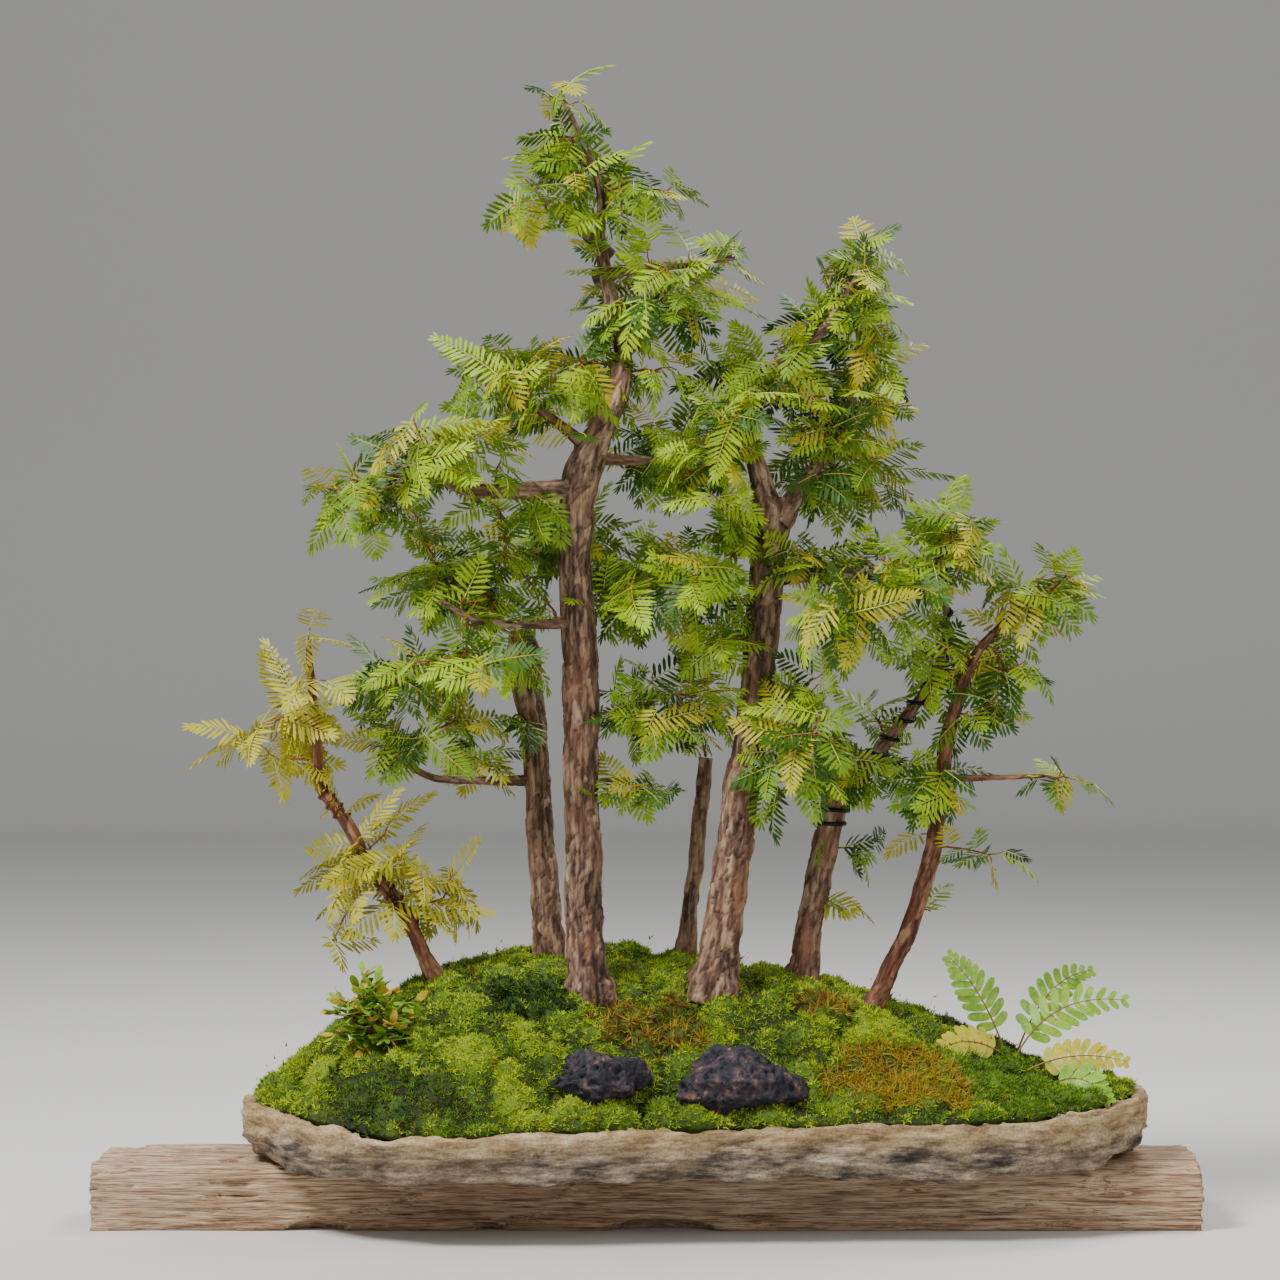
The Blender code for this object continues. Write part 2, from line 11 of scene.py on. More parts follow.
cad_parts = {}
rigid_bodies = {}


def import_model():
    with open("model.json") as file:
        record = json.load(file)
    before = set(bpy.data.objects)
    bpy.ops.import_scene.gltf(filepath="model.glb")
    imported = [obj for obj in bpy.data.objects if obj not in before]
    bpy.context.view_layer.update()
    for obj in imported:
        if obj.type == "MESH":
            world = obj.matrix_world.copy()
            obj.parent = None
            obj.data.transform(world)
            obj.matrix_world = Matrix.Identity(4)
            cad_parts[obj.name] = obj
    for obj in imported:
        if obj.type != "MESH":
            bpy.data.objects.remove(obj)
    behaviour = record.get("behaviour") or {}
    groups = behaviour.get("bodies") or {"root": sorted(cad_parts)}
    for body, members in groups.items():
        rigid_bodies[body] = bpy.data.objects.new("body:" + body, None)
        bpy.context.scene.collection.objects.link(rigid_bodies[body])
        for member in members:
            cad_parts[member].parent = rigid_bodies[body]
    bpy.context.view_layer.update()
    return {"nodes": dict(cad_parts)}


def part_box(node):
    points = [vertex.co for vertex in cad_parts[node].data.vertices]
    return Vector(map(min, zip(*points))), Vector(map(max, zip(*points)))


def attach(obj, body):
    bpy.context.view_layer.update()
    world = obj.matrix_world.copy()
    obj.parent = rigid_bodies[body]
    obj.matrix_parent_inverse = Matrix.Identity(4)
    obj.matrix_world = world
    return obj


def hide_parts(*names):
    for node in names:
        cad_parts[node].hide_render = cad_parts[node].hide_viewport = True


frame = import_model()

# Lengths are in millimetres, and MM turns them to metres
MM = 0.001
UP = np.array((0.0, 0.0, 1.0))

# The camera of the picture: level, a long lens, 2.59 m in front of the board's middle
CAMERA_PLACE = (-0.004, -2.590, 0.380)
CAMERA_LENS = 110.7

# Soft lights: name, place and width in metres, power in watts
LAMPS = (
    ("key", (-1.3, -1.0, 2.2), 0.7, 86),
    ("fill", (1.7, -1.7, 1.3), 1.2, 16),
    ("back", (0.9, 1.0, 2.1), 0.9, 36),
)

# Trunks and boughs, as the solids have them: across, deep, height, radius, in millimetres
LIMBS = {
    "trunk_main": (
        (-38, -22, 154, 13.7), (-39, -22, 170, 12.1), (-41, -21, 223, 11.2), (-43, -20, 302, 10.8),
        (-43, -19, 347, 11.3), (-45, -18, 413, 10.7), (-45, -17, 462, 11.1), (-41, -17, 490, 13.1),
        (-30, -16, 516, 9.8), (-17, -12, 545, 7.5), (-16, -6, 574, 6.2), (-24, 0, 607, 4.9),
        (-30, 6, 644, 4.0), (-32, 9, 684, 2.6), (-56, 12, 742, 1.0),
    ),
    "trunk_second": (
        (43, -12, 156, 15.1), (47, -12, 174, 12.8), (56, -12, 236, 11.8), (65, -11, 298, 11.8),
        (73, -10, 347, 11.1), (78, -9, 406, 11.5), (82, -8, 452, 12.1), (83, -8, 474, 9.8),
    ),
    "trunk_back_left": (
        (-63, 55, 168, 11.4), (-66, 55, 195, 10.1), (-71, 56, 252, 9.1), (-75, 57, 313, 8.7),
        (-80, 58, 353, 9.8), (-83, 58, 373, 10.4), (-85, 58, 387, 6.7),
    ),
    "trunk_centre_slim": ((25, 45, 168, 7.0), (29, 45, 196, 5.7), (35, 45, 253, 5.4), (40, 46, 302, 4.8)),
    "trunk_right_stub": (
        (102, 25, 150, 12.0), (106, 25, 174, 9.6), (114, 27, 220, 9.0), (124, 28, 264, 8.6),
        (128, 28, 280, 10.0), (130, 28, 292, 7.3),
    ),
    "trunk_far_right": (
        (146, -4, 136, 8.2), (156, -4, 153, 6.2), (175, -2, 197, 5.6), (187, 0, 235, 5.3),
        (194, 2, 275, 4.9), (199, 3, 317, 4.5), (214, 5, 362, 3.6), (233, 5, 388, 2.6),
        (260, 5, 408, 1.8), (277, 5, 422, 1.0),
    ),
    "trunk_far_left": (
        (-138, 12, 155, 6.6), (-147, 12, 172, 5.0), (-163, 12, 205, 4.3), (-183, 13, 229, 4.4),
        (-200, 14, 261, 4.1), (-216, 15, 285, 3.8), (-218, 16, 314, 3.3), (-221, 17, 347, 2.8),
        (-224, 18, 380, 2.0),
    ),
    "bough_second_leader": (
        (80, -8, 465, 7.9), (73, -7, 492, 6.2), (65, -5, 518, 5.6), (70, -2, 541, 5.3),
        (95, 0, 566, 4.3), (121, 4, 590, 3.0), (149, 8, 637, 1.2),
    ),
    "bough_second_right_limb": (
        (91, -8, 464, 6.6), (105, -4, 486, 4.6), (124, 2, 513, 3.3), (136, 6, 542, 2.3), (143, 8, 575, 1.3),
    ),
    "bough_second_right": (
        (82, -9, 420, 5.2), (130, -18, 424, 3.9), (175, -22, 421, 3.3), (204, -18, 441, 2.3),
    ),
    "bough_main_left_low": (
        (-44, -17, 478, 5.9), (-82, -34, 477, 5.2), (-117, -44, 477, 4.2), (-138, -48, 491, 2.6),
    ),
    "bough_main_left_high": ((-38, -17, 505, 4.2), (-64, -28, 526, 2.9), (-87, -32, 539, 1.9)),
    "bough_main_right": ((-34, -16, 500, 4.2), (3, 0, 498, 2.8), (39, 14, 502, 1.7)),
    "bough_main_right_top": (
        (-26, 3, 620, 4.0), (-4, -6, 624, 3.3), (25, -12, 626, 2.6), (59, -16, 631, 2.0),
    ),
    "bough_main_left_top": ((-30, 6, 639, 3.3), (-51, -2, 655, 2.5), (-74, -8, 677, 1.6)),
    "bough_main_left_below": (
        (-44, -19, 392, 3.9), (-79, -36, 390, 2.9), (-107, -46, 392, 2.3), (-131, -50, 404, 1.6),
    ),
    "bough_back_left_high": ((-83, 58, 363, 3.6), (-119, 62, 365, 2.6), (-145, 60, 366, 1.9)),
    "bough_back_left_low": (
        (-74, 56, 285, 4.0), (-111, 44, 286, 2.7), (-145, 36, 289, 2.3), (-174, 32, 308, 1.7),
    ),
    "bough_right_stub_wired": (
        (128, 28, 282, 5.3), (155, 22, 308, 4.3), (172, 16, 328, 4.0), (191, 12, 357, 3.3),
        (198, 10, 387, 2.6), (196, 8, 423, 2.0), (189, 6, 452, 1.4),
    ),
    "bough_far_right_side": ((194, 2, 288, 2.8), (229, -8, 290, 1.8), (261, -14, 291, 1.3)),
}

# Which limbs bear which masses, by the words in their names
BEARERS = {
    "foliage_main": "_main", "foliage_centre": "_second", "foliage_second": "_second",
    "foliage_back_left": "_back_left", "foliage_stub": "_right_stub", "foliage_far_right": "_far_right",
    "foliage_far_left": "_far_left",
}

# Worn places on the front of the trunks: across, height, half width, half height, kind
WORN = {
    "trunk_main": (
        (-36, 180, 7, 34, "peeled"), (-44, 286, 5, 7, "cut"), (-47, 348, 6, 6, "cut"),
        (-41, 470, 5, 12, "cut"),
    ),
    "trunk_second": (
        (79, 405, 5, 5, "cut"), (80, 380, 4, 5, "cut"), (70, 338, 5, 7, "cut"), (60, 215, 6, 26, "peeled"),
    ),
    "trunk_back_left": ((-87, 362, 5, 6, "cut"),),
    "trunk_centre_slim": ((34, 240, 3, 50, "cut"),),
    "trunk_right_stub": ((127, 288, 7, 5, "cut"), (106, 180, 7, 24, "peeled")),
    "trunk_far_left": ((-224, 377, 4, 4, "cut"),),
}

# Bark: flaking plates a few millimetres wide and several times as long, on a slowly turning fluted limb
BARK_RING_STEP = 1.4
BARK_SIDE_STEP = 1.25
FURROW_WIDTH = 3.4
FURROW_LENGTH = 17
PLATE_WIDTH = 5.0
PLATE_LENGTH = 21
PLATE_DEEPEST = 1.3
FLUTE_TURN = 90
ROOT_FLARE_HEIGHT = 11

# Shares of a limb's radius: how deep plates are, and its swelling at the root and at a bough's foot
PLATE_DEPTH = 0.13
ROOT_FLARE = 0.20
BOUGH_COLLAR = 0.40

# A crack's share of the width of a plate
CRACK_SHARE = 0.15

# How far a limb's middle line bends from its stations, and how often
SWAY = 1.4
SWAY_LENGTH = 31

# How far a limb runs on into the ground or into the limb that bears it
TRUNK_SUNK = 14
BOUGH_SUNK = 9

# Sprays: length of each shape, with a needle on each side every few millimetres
SPRAY_LENGTHS = (19, 25, 31, 37, 44, 51)
NEEDLE_SPACING = 3.6
NEEDLE_LENGTH = 14.5
NEEDLE_WIDTH = 2.0
# Needle tints: besides their random share, the deep tint inside a crown is painted shade and the fresh one at
# its rim and top painted light
NEEDLE_TINTS = {
    "fresh": "93b00c", "mid": "6c8c0e", "deep": "395e11",
    "yellow": "b0a71c", "gold": "a29a18", "straw": "b4ac2c",
}

# Twigs: tips for the size of a mass, fewer in the thin crowns, and where sprays sit behind a tip
TARGETS_PER_SIZE = 0.0090
THIN_CROWNS = {"far_left": 0.6, "main_top": 0.8}
SPRAY_STATIONS = (6, 13, 21, 30)

# What the way to a tip costs beside its length: a bend, the run back to the limb and a fall below its start
BEND_COST = 0.30
LIMB_BEND = 0.6
RUN_COST = 0.30
FALL_COST = 0.25
TIP_RADIUS = 0.42
TIP_POWER = 0.42
OLD_TWIG_RADIUS = 0.95

# Sprigs that no mass holds, by the tree that bears them: middle across, deep and high, and how many twigs
SPRIGS = {
    "_main": (
        (58, -16, 640, 3), (-50, 11, 710, 4), (-36, 9, 690, 4), (-62, 6, 702, 3),
        (-4, -14, 286, 4), (10, 4, 276, 3), (-22, -2, 560, 4), (-175, -40, 456, 5),
        (-150, -20, 460, 5), (-70, -20, 470, 4), (-90, -40, 440, 4), (10, -10, 560, 4),
    ),
    "_second": (
        (147, 8, 630, 4), (138, 8, 612, 3), (146, 6, 570, 4), (120, -10, 520, 4), (104, -20, 436, 4),
        (155, -24, 430, 4), (60, -20, 450, 5), (112, -16, 350, 4), (48, -30, 380, 4),
    ),
    "_right_stub": ((145, 30, 240, 2), (130, 30, 210, 2), (150, 26, 330, 4)),
    "_far_right": (
        (228, -6, 238, 3), (184, 0, 249, 1), (186, -4, 202, 1),
        (278, 5, 420, 4), (262, 0, 404, 3), (212, 4, 330, 3),
    ),
    "_far_left": ((-212, 4, 184, 2), (-200, 8, 262, 2), (-212, 14, 352, 2)),
    "_centre_slim": ((27, 45, 350, 2),),
    "_back_left": ((-90, 40, 330, 3), (-110, 50, 300, 3)),
}
SPRIG_SIZE = (24, 20, 18)
SHOOT_GAP = 13
SHOOTS_FROM = 380

# Patches of moss: across, deep, half width, half depth, kind
MOSS_PATCHES = (
    (-76, -38, 30, 20, "deep"), (-108, -92, 56, 30, "bright"), (-70, -120, 30, 16, "bright"),
    (142, -42, 32, 20, "bright"), (-226, -54, 22, 20, "bright"), (-160, -110, 60, 26, "olive"),
    (4, -48, 34, 22, "orange"), (118, -28, 26, 16, "orange"), (160, -84, 50, 26, "gold"),
    (250, -62, 56, 46, "green"), (-30, 96, 90, 40, "green"), (120, 90, 90, 36, "bright"),
    (-180, 60, 70, 50, "green"), (230, 40, 60, 40, "olive"),
)
# Kinds that stand among each kind of moss, and among moss that is in no patch
MINGLED = {
    "bright": ("lime", "lime", "bright"), "gold": ("olive", "orange", "lime", "bright"),
    "orange": ("olive", "gold", "green", "lime"), "green": ("lime", "green", "green"),
    "deep": ("deep", "green"), "olive": ("olive", "green", "deep"),
}
MIXED = ("green", "lime", "bright", "lime", "olive", "green")

# Shoots of each kind: colour, leaves, their length and width, and how far they lean in degrees
MOSS_KINDS = {
    "bright": ("b4c41c", 5, 3.2, 1.15, 58),
    "lime": ("86a012", 5, 3.2, 1.15, 58),
    "green": ("5f8412", 5, 3.8, 1.1, 50),
    "deep": ("29440e", 5, 4.2, 1.2, 40),
    "olive": ("5a5a14", 5, 2.6, 1.1, 60),
    "gold": ("a98a1e", 6, 8.0, 1.0, 66),
    "orange": ("80561c", 5, 3.8, 1.0, 50),
}
LUSHNESS = {
    "bright": 1.0, "gold": 0.75, "green": 0.55, "orange": 0.45, "mixed": 0.5, "olive": 0.2, "deep": 0.1,
}

# Cushions: width and height of the domes of each kind
CUSHIONS = {"bright": (30, 13.0), "deep": (38, 13.0), "green": (26, 9.0), "gold": (40, 7.0)}
OTHER_CUSHIONS = (23, 8.0)

# Where cushions are lower than this there is a crease, where most shoots take a darker kind as painted shade
CREASE_SHADE_BELOW = -2.2
MOSS_TUFTS = 27000

# Fern fronds of each solid: foot (across, deep), arch, tip, half width and leaf
FRONDS = {
    "fern_frond_left": (
        ((236, -8), (222, -10, 150), (199, -12, 172), 17, "leaflets"),
        ((238, -20), (212, -26, 128), (188, -32, 112), 14, "yellow"),
    ),
    "fern_frond_right": (
        ((240, -8), (262, -4, 150), (315, 0, 143), 18, "leaflets"),
        ((242, 4), (262, 18, 158), (296, 30, 160), 15, "leaflets"),
        ((246, -24), (276, -28, 116), (312, -30, 106), 15, "yellow"),
    ),
    "fern_frond_low": (((258, -34), (280, -50, 108), (297, -62, 84), 15, "leaflets"),),
}
LEAFLETS = 10

# Training wires: dull and bright colour, how metallic, and runs (limb, start and end share, pitch, radius)
WIRES = {
    "copper_wire": ("3a2a22", "9c5a3a", 1.0, (
        ("trunk_far_left", 0.16, 0.30, 9, 0.9), ("trunk_far_left", 0.50, 0.60, 8, 0.9),
    )),
    "aluminium_wire_anodised_dark": ("101216", "23262e", 0.7, (
        ("bough_right_stub_wired", 0.02, 0.99, 15, 1.3), ("trunk_right_stub", 0.72, 0.86, 9, 1.3),
    )),
}

# Kinds of node that the finishes use most
RAMP, MIX, MATH, BUMP = "ShaderNodeValToRGB", "ShaderNodeMix", "ShaderNodeMath", "ShaderNodeBump"
MARK, PLACE = "ShaderNodeAttribute", "ShaderNodeTexCoord"
COLOURS = {"data_type": "RGBA"}
DARKENED = {"data_type": "RGBA", "blend_type": "MULTIPLY"}
SCALED_SUM = {"operation": "MULTIPLY_ADD"}

# Fixed seeds: for the draws of twigs, moss and shrub, and for the noise that bends the limbs
rng = np.random.default_rng(20)
noise.seed_set(20)


def linear(hex_colour):
    """An sRGB hex colour as linear RGBA."""
    parts = [int(hex_colour[i : i + 2], 16) / 255 for i in (0, 2, 4)]
    return [c / 12.92 if c <= 0.04045 else ((c + 0.055) / 1.055) ** 2.4 for c in parts] + [1.0]


def wire(tree, node, settings=None, **inputs):
    """Gives a node its own settings and its inputs: numbers, hex colours or other nodes' outputs.
    In an input's name a double underscore is a space, and Value_1 is the second input called Value."""
    for key, value in (settings or {}).items():
        if key == "stops":
            for _ in value[2:]:
                node.color_ramp.elements.new(1.0)
            for element, (place, colour) in zip(node.color_ramp.elements, value):
                element.position = place
                element.color = linear(colour)
        else:
            setattr(node, key, value)
    sockets = {}
    for socket in node.inputs:
        if socket.enabled:
            twins = sum(name.split("_")[0] == socket.name for name in sockets)
            sockets[socket.name + (f"_{twins}" if twins else "")] = socket
    for key, value in inputs.items():
        socket = sockets[key.replace("__", " ")]
        if isinstance(value, bpy.types.NodeSocket):
            tree.links.new(value, socket)
        else:
            socket.default_value = linear(value) if socket.type == "RGBA" else value
    return node


def add(tree, kind, settings=None, out=None, **inputs):
    """A new node's output: the one that is named, or else its first."""
    node = wire(tree, tree.nodes.new(kind), settings, **inputs)
    return node.outputs[out] if out else next(s for s in node.outputs if s.enabled)


def new_finish(name):
    """An empty material with its shader and its tree."""
    material = bpy.data.materials.new(name)
    material.use_nodes = True
    return material, material.node_tree, material.node_tree.nodes["Principled BSDF"]


def grain(tree, source, size_mm, stretch=(1, 1, 1), detail=4, rough=0.55):
    """Noise whose largest features are size_mm across, drawn out by stretch."""
    scale = [1 / (size_mm * MM * s) for s in stretch]
    way = add(tree, "ShaderNodeMapping", Vector=source, Scale=scale)
    return add(tree, "ShaderNodeTexNoise", Vector=way, Scale=1.0, Detail=detail, Roughness=rough)


def laid_over(tree, under, over, source, stops, blend=COLOURS):
    """One colour over another, as strong as the grey that a pattern gives between the stops."""
    return add(tree, MIX, blend, Factor=add(tree, RAMP, {"stops": stops}, Fac=source), A=under, B=over)


def bark_finish(name, dark, middle, light, tint):
    """Fibrous redwood bark: grey-tan plates between dark cracks, rust in patches, bare skin where worn.
    The fibres are drawn coarser than life, so that they show."""
    material, tree, shader = new_finish(name)
    along = add(tree, MARK, {"attribute_name": "bark"}, "Vector")
    plate, crack, peeled, cut = (
        add(tree, MARK, {"attribute_name": mark}, "Fac") for mark in ("plate", "furrow", "peeled", "cut")
    )
    furrow = grain(tree, along, FURROW_WIDTH, (1, 1, FURROW_LENGTH / FURROW_WIDTH), 5, 0.6)
    patch = grain(tree, along, 26, (1, 1, 1.6), 3)
    fibre = grain(tree, along, 0.9, (1, 1, 14), 3)
    shade = add(tree, MATH, SCALED_SUM, Value=plate, Value_1=0.11, Value_2=furrow)
    colour = add(tree, RAMP, {"stops": ((0.36, dark), (0.52, middle), (0.70, light))}, Fac=shade)
    colour = laid_over(tree, colour, "2a1c16", crack, ((0.25, "000000"), (0.95, "d0d0d0")))
    colour = laid_over(tree, colour, tint, patch, ((0.42, "000000"), (0.70, "b0b0b0")))
    colour = laid_over(tree, colour, dark, fibre, ((0.35, "909090"), (0.65, "000000")), DARKENED)
    skin = add(tree, RAMP, {"stops": ((0.38, "3a2426"), (0.52, "8a5a44"), (0.66, "a9795c"))}, Fac=patch)
    colour = add(tree, MIX, COLOURS, Factor=peeled, A=colour, B=skin)
    wood = add(tree, RAMP, {"stops": ((0.3, "7d5c40"), (0.7, "b99470"))}, Fac=fibre)
    colour = add(tree, MIX, COLOURS, Factor=cut, A=colour, B=wood)
    relief = add(tree, BUMP, Distance=1.4 * MM, Strength=0.8, Height=furrow)
    wire(tree, shader, Base__Color=colour, Roughness=0.82, Normal=relief)
    return material


def plain_finish(name, colour, roughness, specular=0.5):
    """One plain colour, as the needles of one tint, whose variety comes from being dealt out by spray."""
    material, tree, shader = new_finish(name)
    wire(tree, shader, Base__Color=colour, Roughness=roughness, Specular__IOR__Level=specular)
    return material


def mottled_finish(name, stops, size_mm, roughness, bump_mm=0.4, fine_mm=1.2):
    """A natural surface in several colours that run into each other, with a fine grain."""
    material, tree, shader = new_finish(name)
    place = add(tree, PLACE, out="Object")
    broad = grain(tree, place, size_mm, detail=5)
    fine = grain(tree, place, fine_mm, detail=3)
    colour = add(tree, RAMP, {"stops": stops}, Fac=broad)
    colour = laid_over(tree, colour, "201a12", fine, ((0.35, "8c8c8c"), (0.6, "000000")), DARKENED)
    relief = add(tree, BUMP, Distance=bump_mm * MM, Height=fine)
    wire(tree, shader, Base__Color=colour, Roughness=roughness, Normal=relief)
    return material


def moss_finish():
    """Moss felt under the shoots: yellow-green by the lushness of its patch, with painted shade in the
    creases between cushions and painted light on their tops.
    """
    material, tree, shader = new_finish("moss_felt")
    # The felt's tone mark holds the patch's lushness plus painted shade and light from the cushion height
    lush = add(tree, MARK, {"attribute_name": "lush"}, "Fac")
    speckle = grain(tree, add(tree, PLACE, out="Object"), 2.2, detail=4, rough=0.7)
    shade = add(tree, MATH, SCALED_SUM, Value=speckle, Value_1=0.6, Value_2=lush)
    stops = ((0.36, "1a210c"), (0.56, "334610"), (0.74, "556f14"), (0.95, "7d921a"))
    colour = add(tree, RAMP, {"stops": stops}, Fac=shade)
    relief = add(tree, BUMP, Distance=1.6 * MM, Height=speckle)
    wire(tree, shader, Base__Color=colour, Roughness=0.95, Normal=relief)
    return material


def rock_finish():
    """Cast rock: grey wall with white and black streaks, ochre lip."""
    material, tree, shader = new_finish("tray_rock")
    place = add(tree, PLACE, out="Object")
    streak = grain(tree, place, 11, (2.4, 2.4, 0.55), 6, 0.68)
    broad = grain(tree, place, 42, (1, 1, 0.8), 4)
    fine = grain(tree, place, 1.6, detail=4)
    greys = ((0.35, "171513"), (0.43, "554a40"), (0.52, "8f7f6e"), (0.60, "b8a287"), (0.70, "ebe3d2"))
    wall = add(tree, RAMP, {"stops": greys}, Fac=streak)
    wall = laid_over(tree, wall, "8a6f4c", broad, ((0.42, "000000"), (0.62, "a0a0a0")))
    ochres = ((0.34, "6e5636"), (0.46, "a3845a"), (0.58, "c4a87c"), (0.74, "e0cda8"))
    lip = add(tree, RAMP, {"stops": ochres}, Fac=streak)
    height = add(tree, "ShaderNodeSeparateXYZ", out="Z", Vector=place)
    rise = add(tree, MATH, SCALED_SUM, Value=broad, Value_1=20 * MM, Value_2=height)
    top = add(tree, "ShaderNodeMapRange", Value=rise, From__Min=64 * MM, From__Max=80 * MM)
    colour = add(tree, MIX, COLOURS, Factor=top, A=wall, B=lip)
    colour = laid_over(tree, colour, "3a332b", fine, ((0.36, "a0a0a0"), (0.58, "000000")), DARKENED)
    relief = add(tree, BUMP, Distance=2.2 * MM, Height=streak)
    wire(tree, shader, Base__Color=colour, Roughness=0.72, Normal=relief)
    return material


def plank_finish():
    """Weathered softwood: long tan and rust grain with grey film and dark checks, end to end."""
    material, tree, shader = new_finish("weathered_plank")
    place = add(tree, PLACE, out="Object")
    line = grain(tree, place, 2.2, (22, 1, 1), 6, 0.7)
    broad = grain(tree, place, 14, (7, 1, 1), 4)
    fine = grain(tree, place, 0.7, (26, 1, 1), 3)
    stain = grain(tree, place, 60, (1.5, 1, 1), 3)
    tans = ((0.30, "3a291e"), (0.41, "9c785a"), (0.52, "cba885"), (0.68, "eedabb"))
    wood = add(tree, RAMP, {"stops": tans}, Fac=line)
    wood = laid_over(tree, wood, "b5825c", broad, ((0.42, "000000"), (0.70, "808080")))
    wood = laid_over(tree, wood, "d6c2a4", stain, ((0.45, "000000"), (0.70, "909090")))
    wood = laid_over(tree, wood, "2e2119", fine, ((0.36, "d0d0d0"), (0.50, "000000")), DARKENED)
    relief = add(tree, BUMP, Distance=1.8 * MM, Height=line)
    wire(tree, shader, Base__Color=wood, Roughness=0.8, Normal=relief)
    return material


def mesh_from(name, parts):
    """One mesh from many sets of places and triangles."""
    counts = np.cumsum([0] + [len(p[0]) for p in parts])
    places = np.concatenate([p[0] for p in parts]).astype(np.float32)
    faces = np.concatenate([np.asarray(p[1]) + start for p, start in zip(parts, counts)]).astype(np.int32)
    mesh = bpy.data.meshes.new(name)
    mesh.vertices.add(len(places))
    mesh.vertices.foreach_set("co", places.ravel())
    mesh.loops.add(faces.size)
    mesh.loops.foreach_set("vertex_index", faces.ravel())
    mesh.polygons.add(len(faces))
    mesh.polygons.foreach_set("loop_start", np.arange(0, faces.size, 3, dtype=np.int32))
    mesh.update(calc_edges=True)
    return mesh


def piece(name, mesh, material, nodes=(), smooth=False):
    """A finished piece: its finish, its body and the solids that it stands for."""
    mesh.name = name
    mesh.materials.clear()
    mesh.materials.append(material)
    mesh.polygons.foreach_set("use_smooth", np.full(len(mesh.polygons), smooth))
    mesh.polygons.foreach_set("material_index", np.zeros(len(mesh.polygons), dtype=np.int32))
    thing = bpy.data.objects.new(name, mesh)
    bpy.context.scene.collection.objects.link(thing)
    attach(thing, "root")
    if nodes:
        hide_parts(*nodes)
    return thing


def unit(v):
    """Directions of length one."""
    return v / np.maximum(np.linalg.norm(v, axis=-1, keepdims=True), 1e-9)


def smooth_line(stations, step):
    """Evenly spaced places and radii on a smooth line through stations of (x, y, z, radius)."""
    s = np.array(stations, dtype=float)
    s = np.vstack((2 * s[0] - s[1], s, 2 * s[-1] - s[-2]))
    t = np.linspace(0, 1, 24, endpoint=False)[:, None]
    dense = [
        (2 * b + (c - a) * t + (2 * a - 5 * b + 4 * c - d) * t**2 + (3 * b - a - 3 * c + d) * t**3) / 2
        for a, b, c, d in zip(s, s[1:], s[2:], s[3:])
    ]
    dense = np.vstack(dense + [s[-2]])
    reach = np.concatenate(([0], np.cumsum(np.linalg.norm(np.diff(dense[:, :3], axis=0), axis=1))))
    even = np.linspace(0, reach[-1], max(3, int(reach[-1] / step) + 1))
    line = np.stack([np.interp(even, reach, dense[:, k]) for k in range(4)], axis=1)
    return line[:, :3], line[:, 3], even


def frames(points):
    """Along, across and third directions at each place of a line, with no twist."""
    along = unit(np.gradient(points, axis=0))
    side = np.cross(along[0], (0.0, 1.0, 0.1))
    out = []
    for way in along:
        side = unit(side - way * side.dot(way))
        out.append(side)
    out = np.array(out)
    return along, out, np.cross(along, out)


def tube(points, radii, sides):
    """A closed tube round a line. radii is one per ring, or one per ring and side."""
    _, u, v = frames(points)
    angle = np.arange(sides) * math.tau / sides
    radii = np.asarray(radii)
    radii = np.broadcast_to(radii[:, None] if radii.ndim == 1 else radii, (len(points), sides))
    ways = np.cos(angle)[None, :, None] * u[:, None] + np.sin(angle)[None, :, None] * v[:, None]
    rings = points[:, None] + radii[:, :, None] * ways
    places = np.vstack((rings.reshape(-1, 3), points[0], points[-1]))
    row = np.arange(len(points) - 1)[:, None] * sides
    k = np.arange(sides)
    j = (k + 1) % sides
    low, nxt = (row + k).ravel(), (row + j).ravel()
    foot, last = len(places) - 2, (len(points) - 1) * sides
    faces = np.vstack((
        np.stack((low, nxt, nxt + sides), 1), np.stack((low, nxt + sides, low + sides), 1),
        np.stack((np.full(sides, foot), j, k), 1),
        np.stack((np.full(sides, foot + 1), last + k, last + j), 1),
    ))
    return places, faces


def wandering(name, points, radii, reach):
    """A limb's middle line with the small bends that every limb has."""
    bends = [noise.noise_vector(Vector((s / SWAY_LENGTH, len(name), 3.3)))[:] for s in reach]
    return points + np.array(bends) * np.minimum(SWAY, radii * 0.32)[:, None]


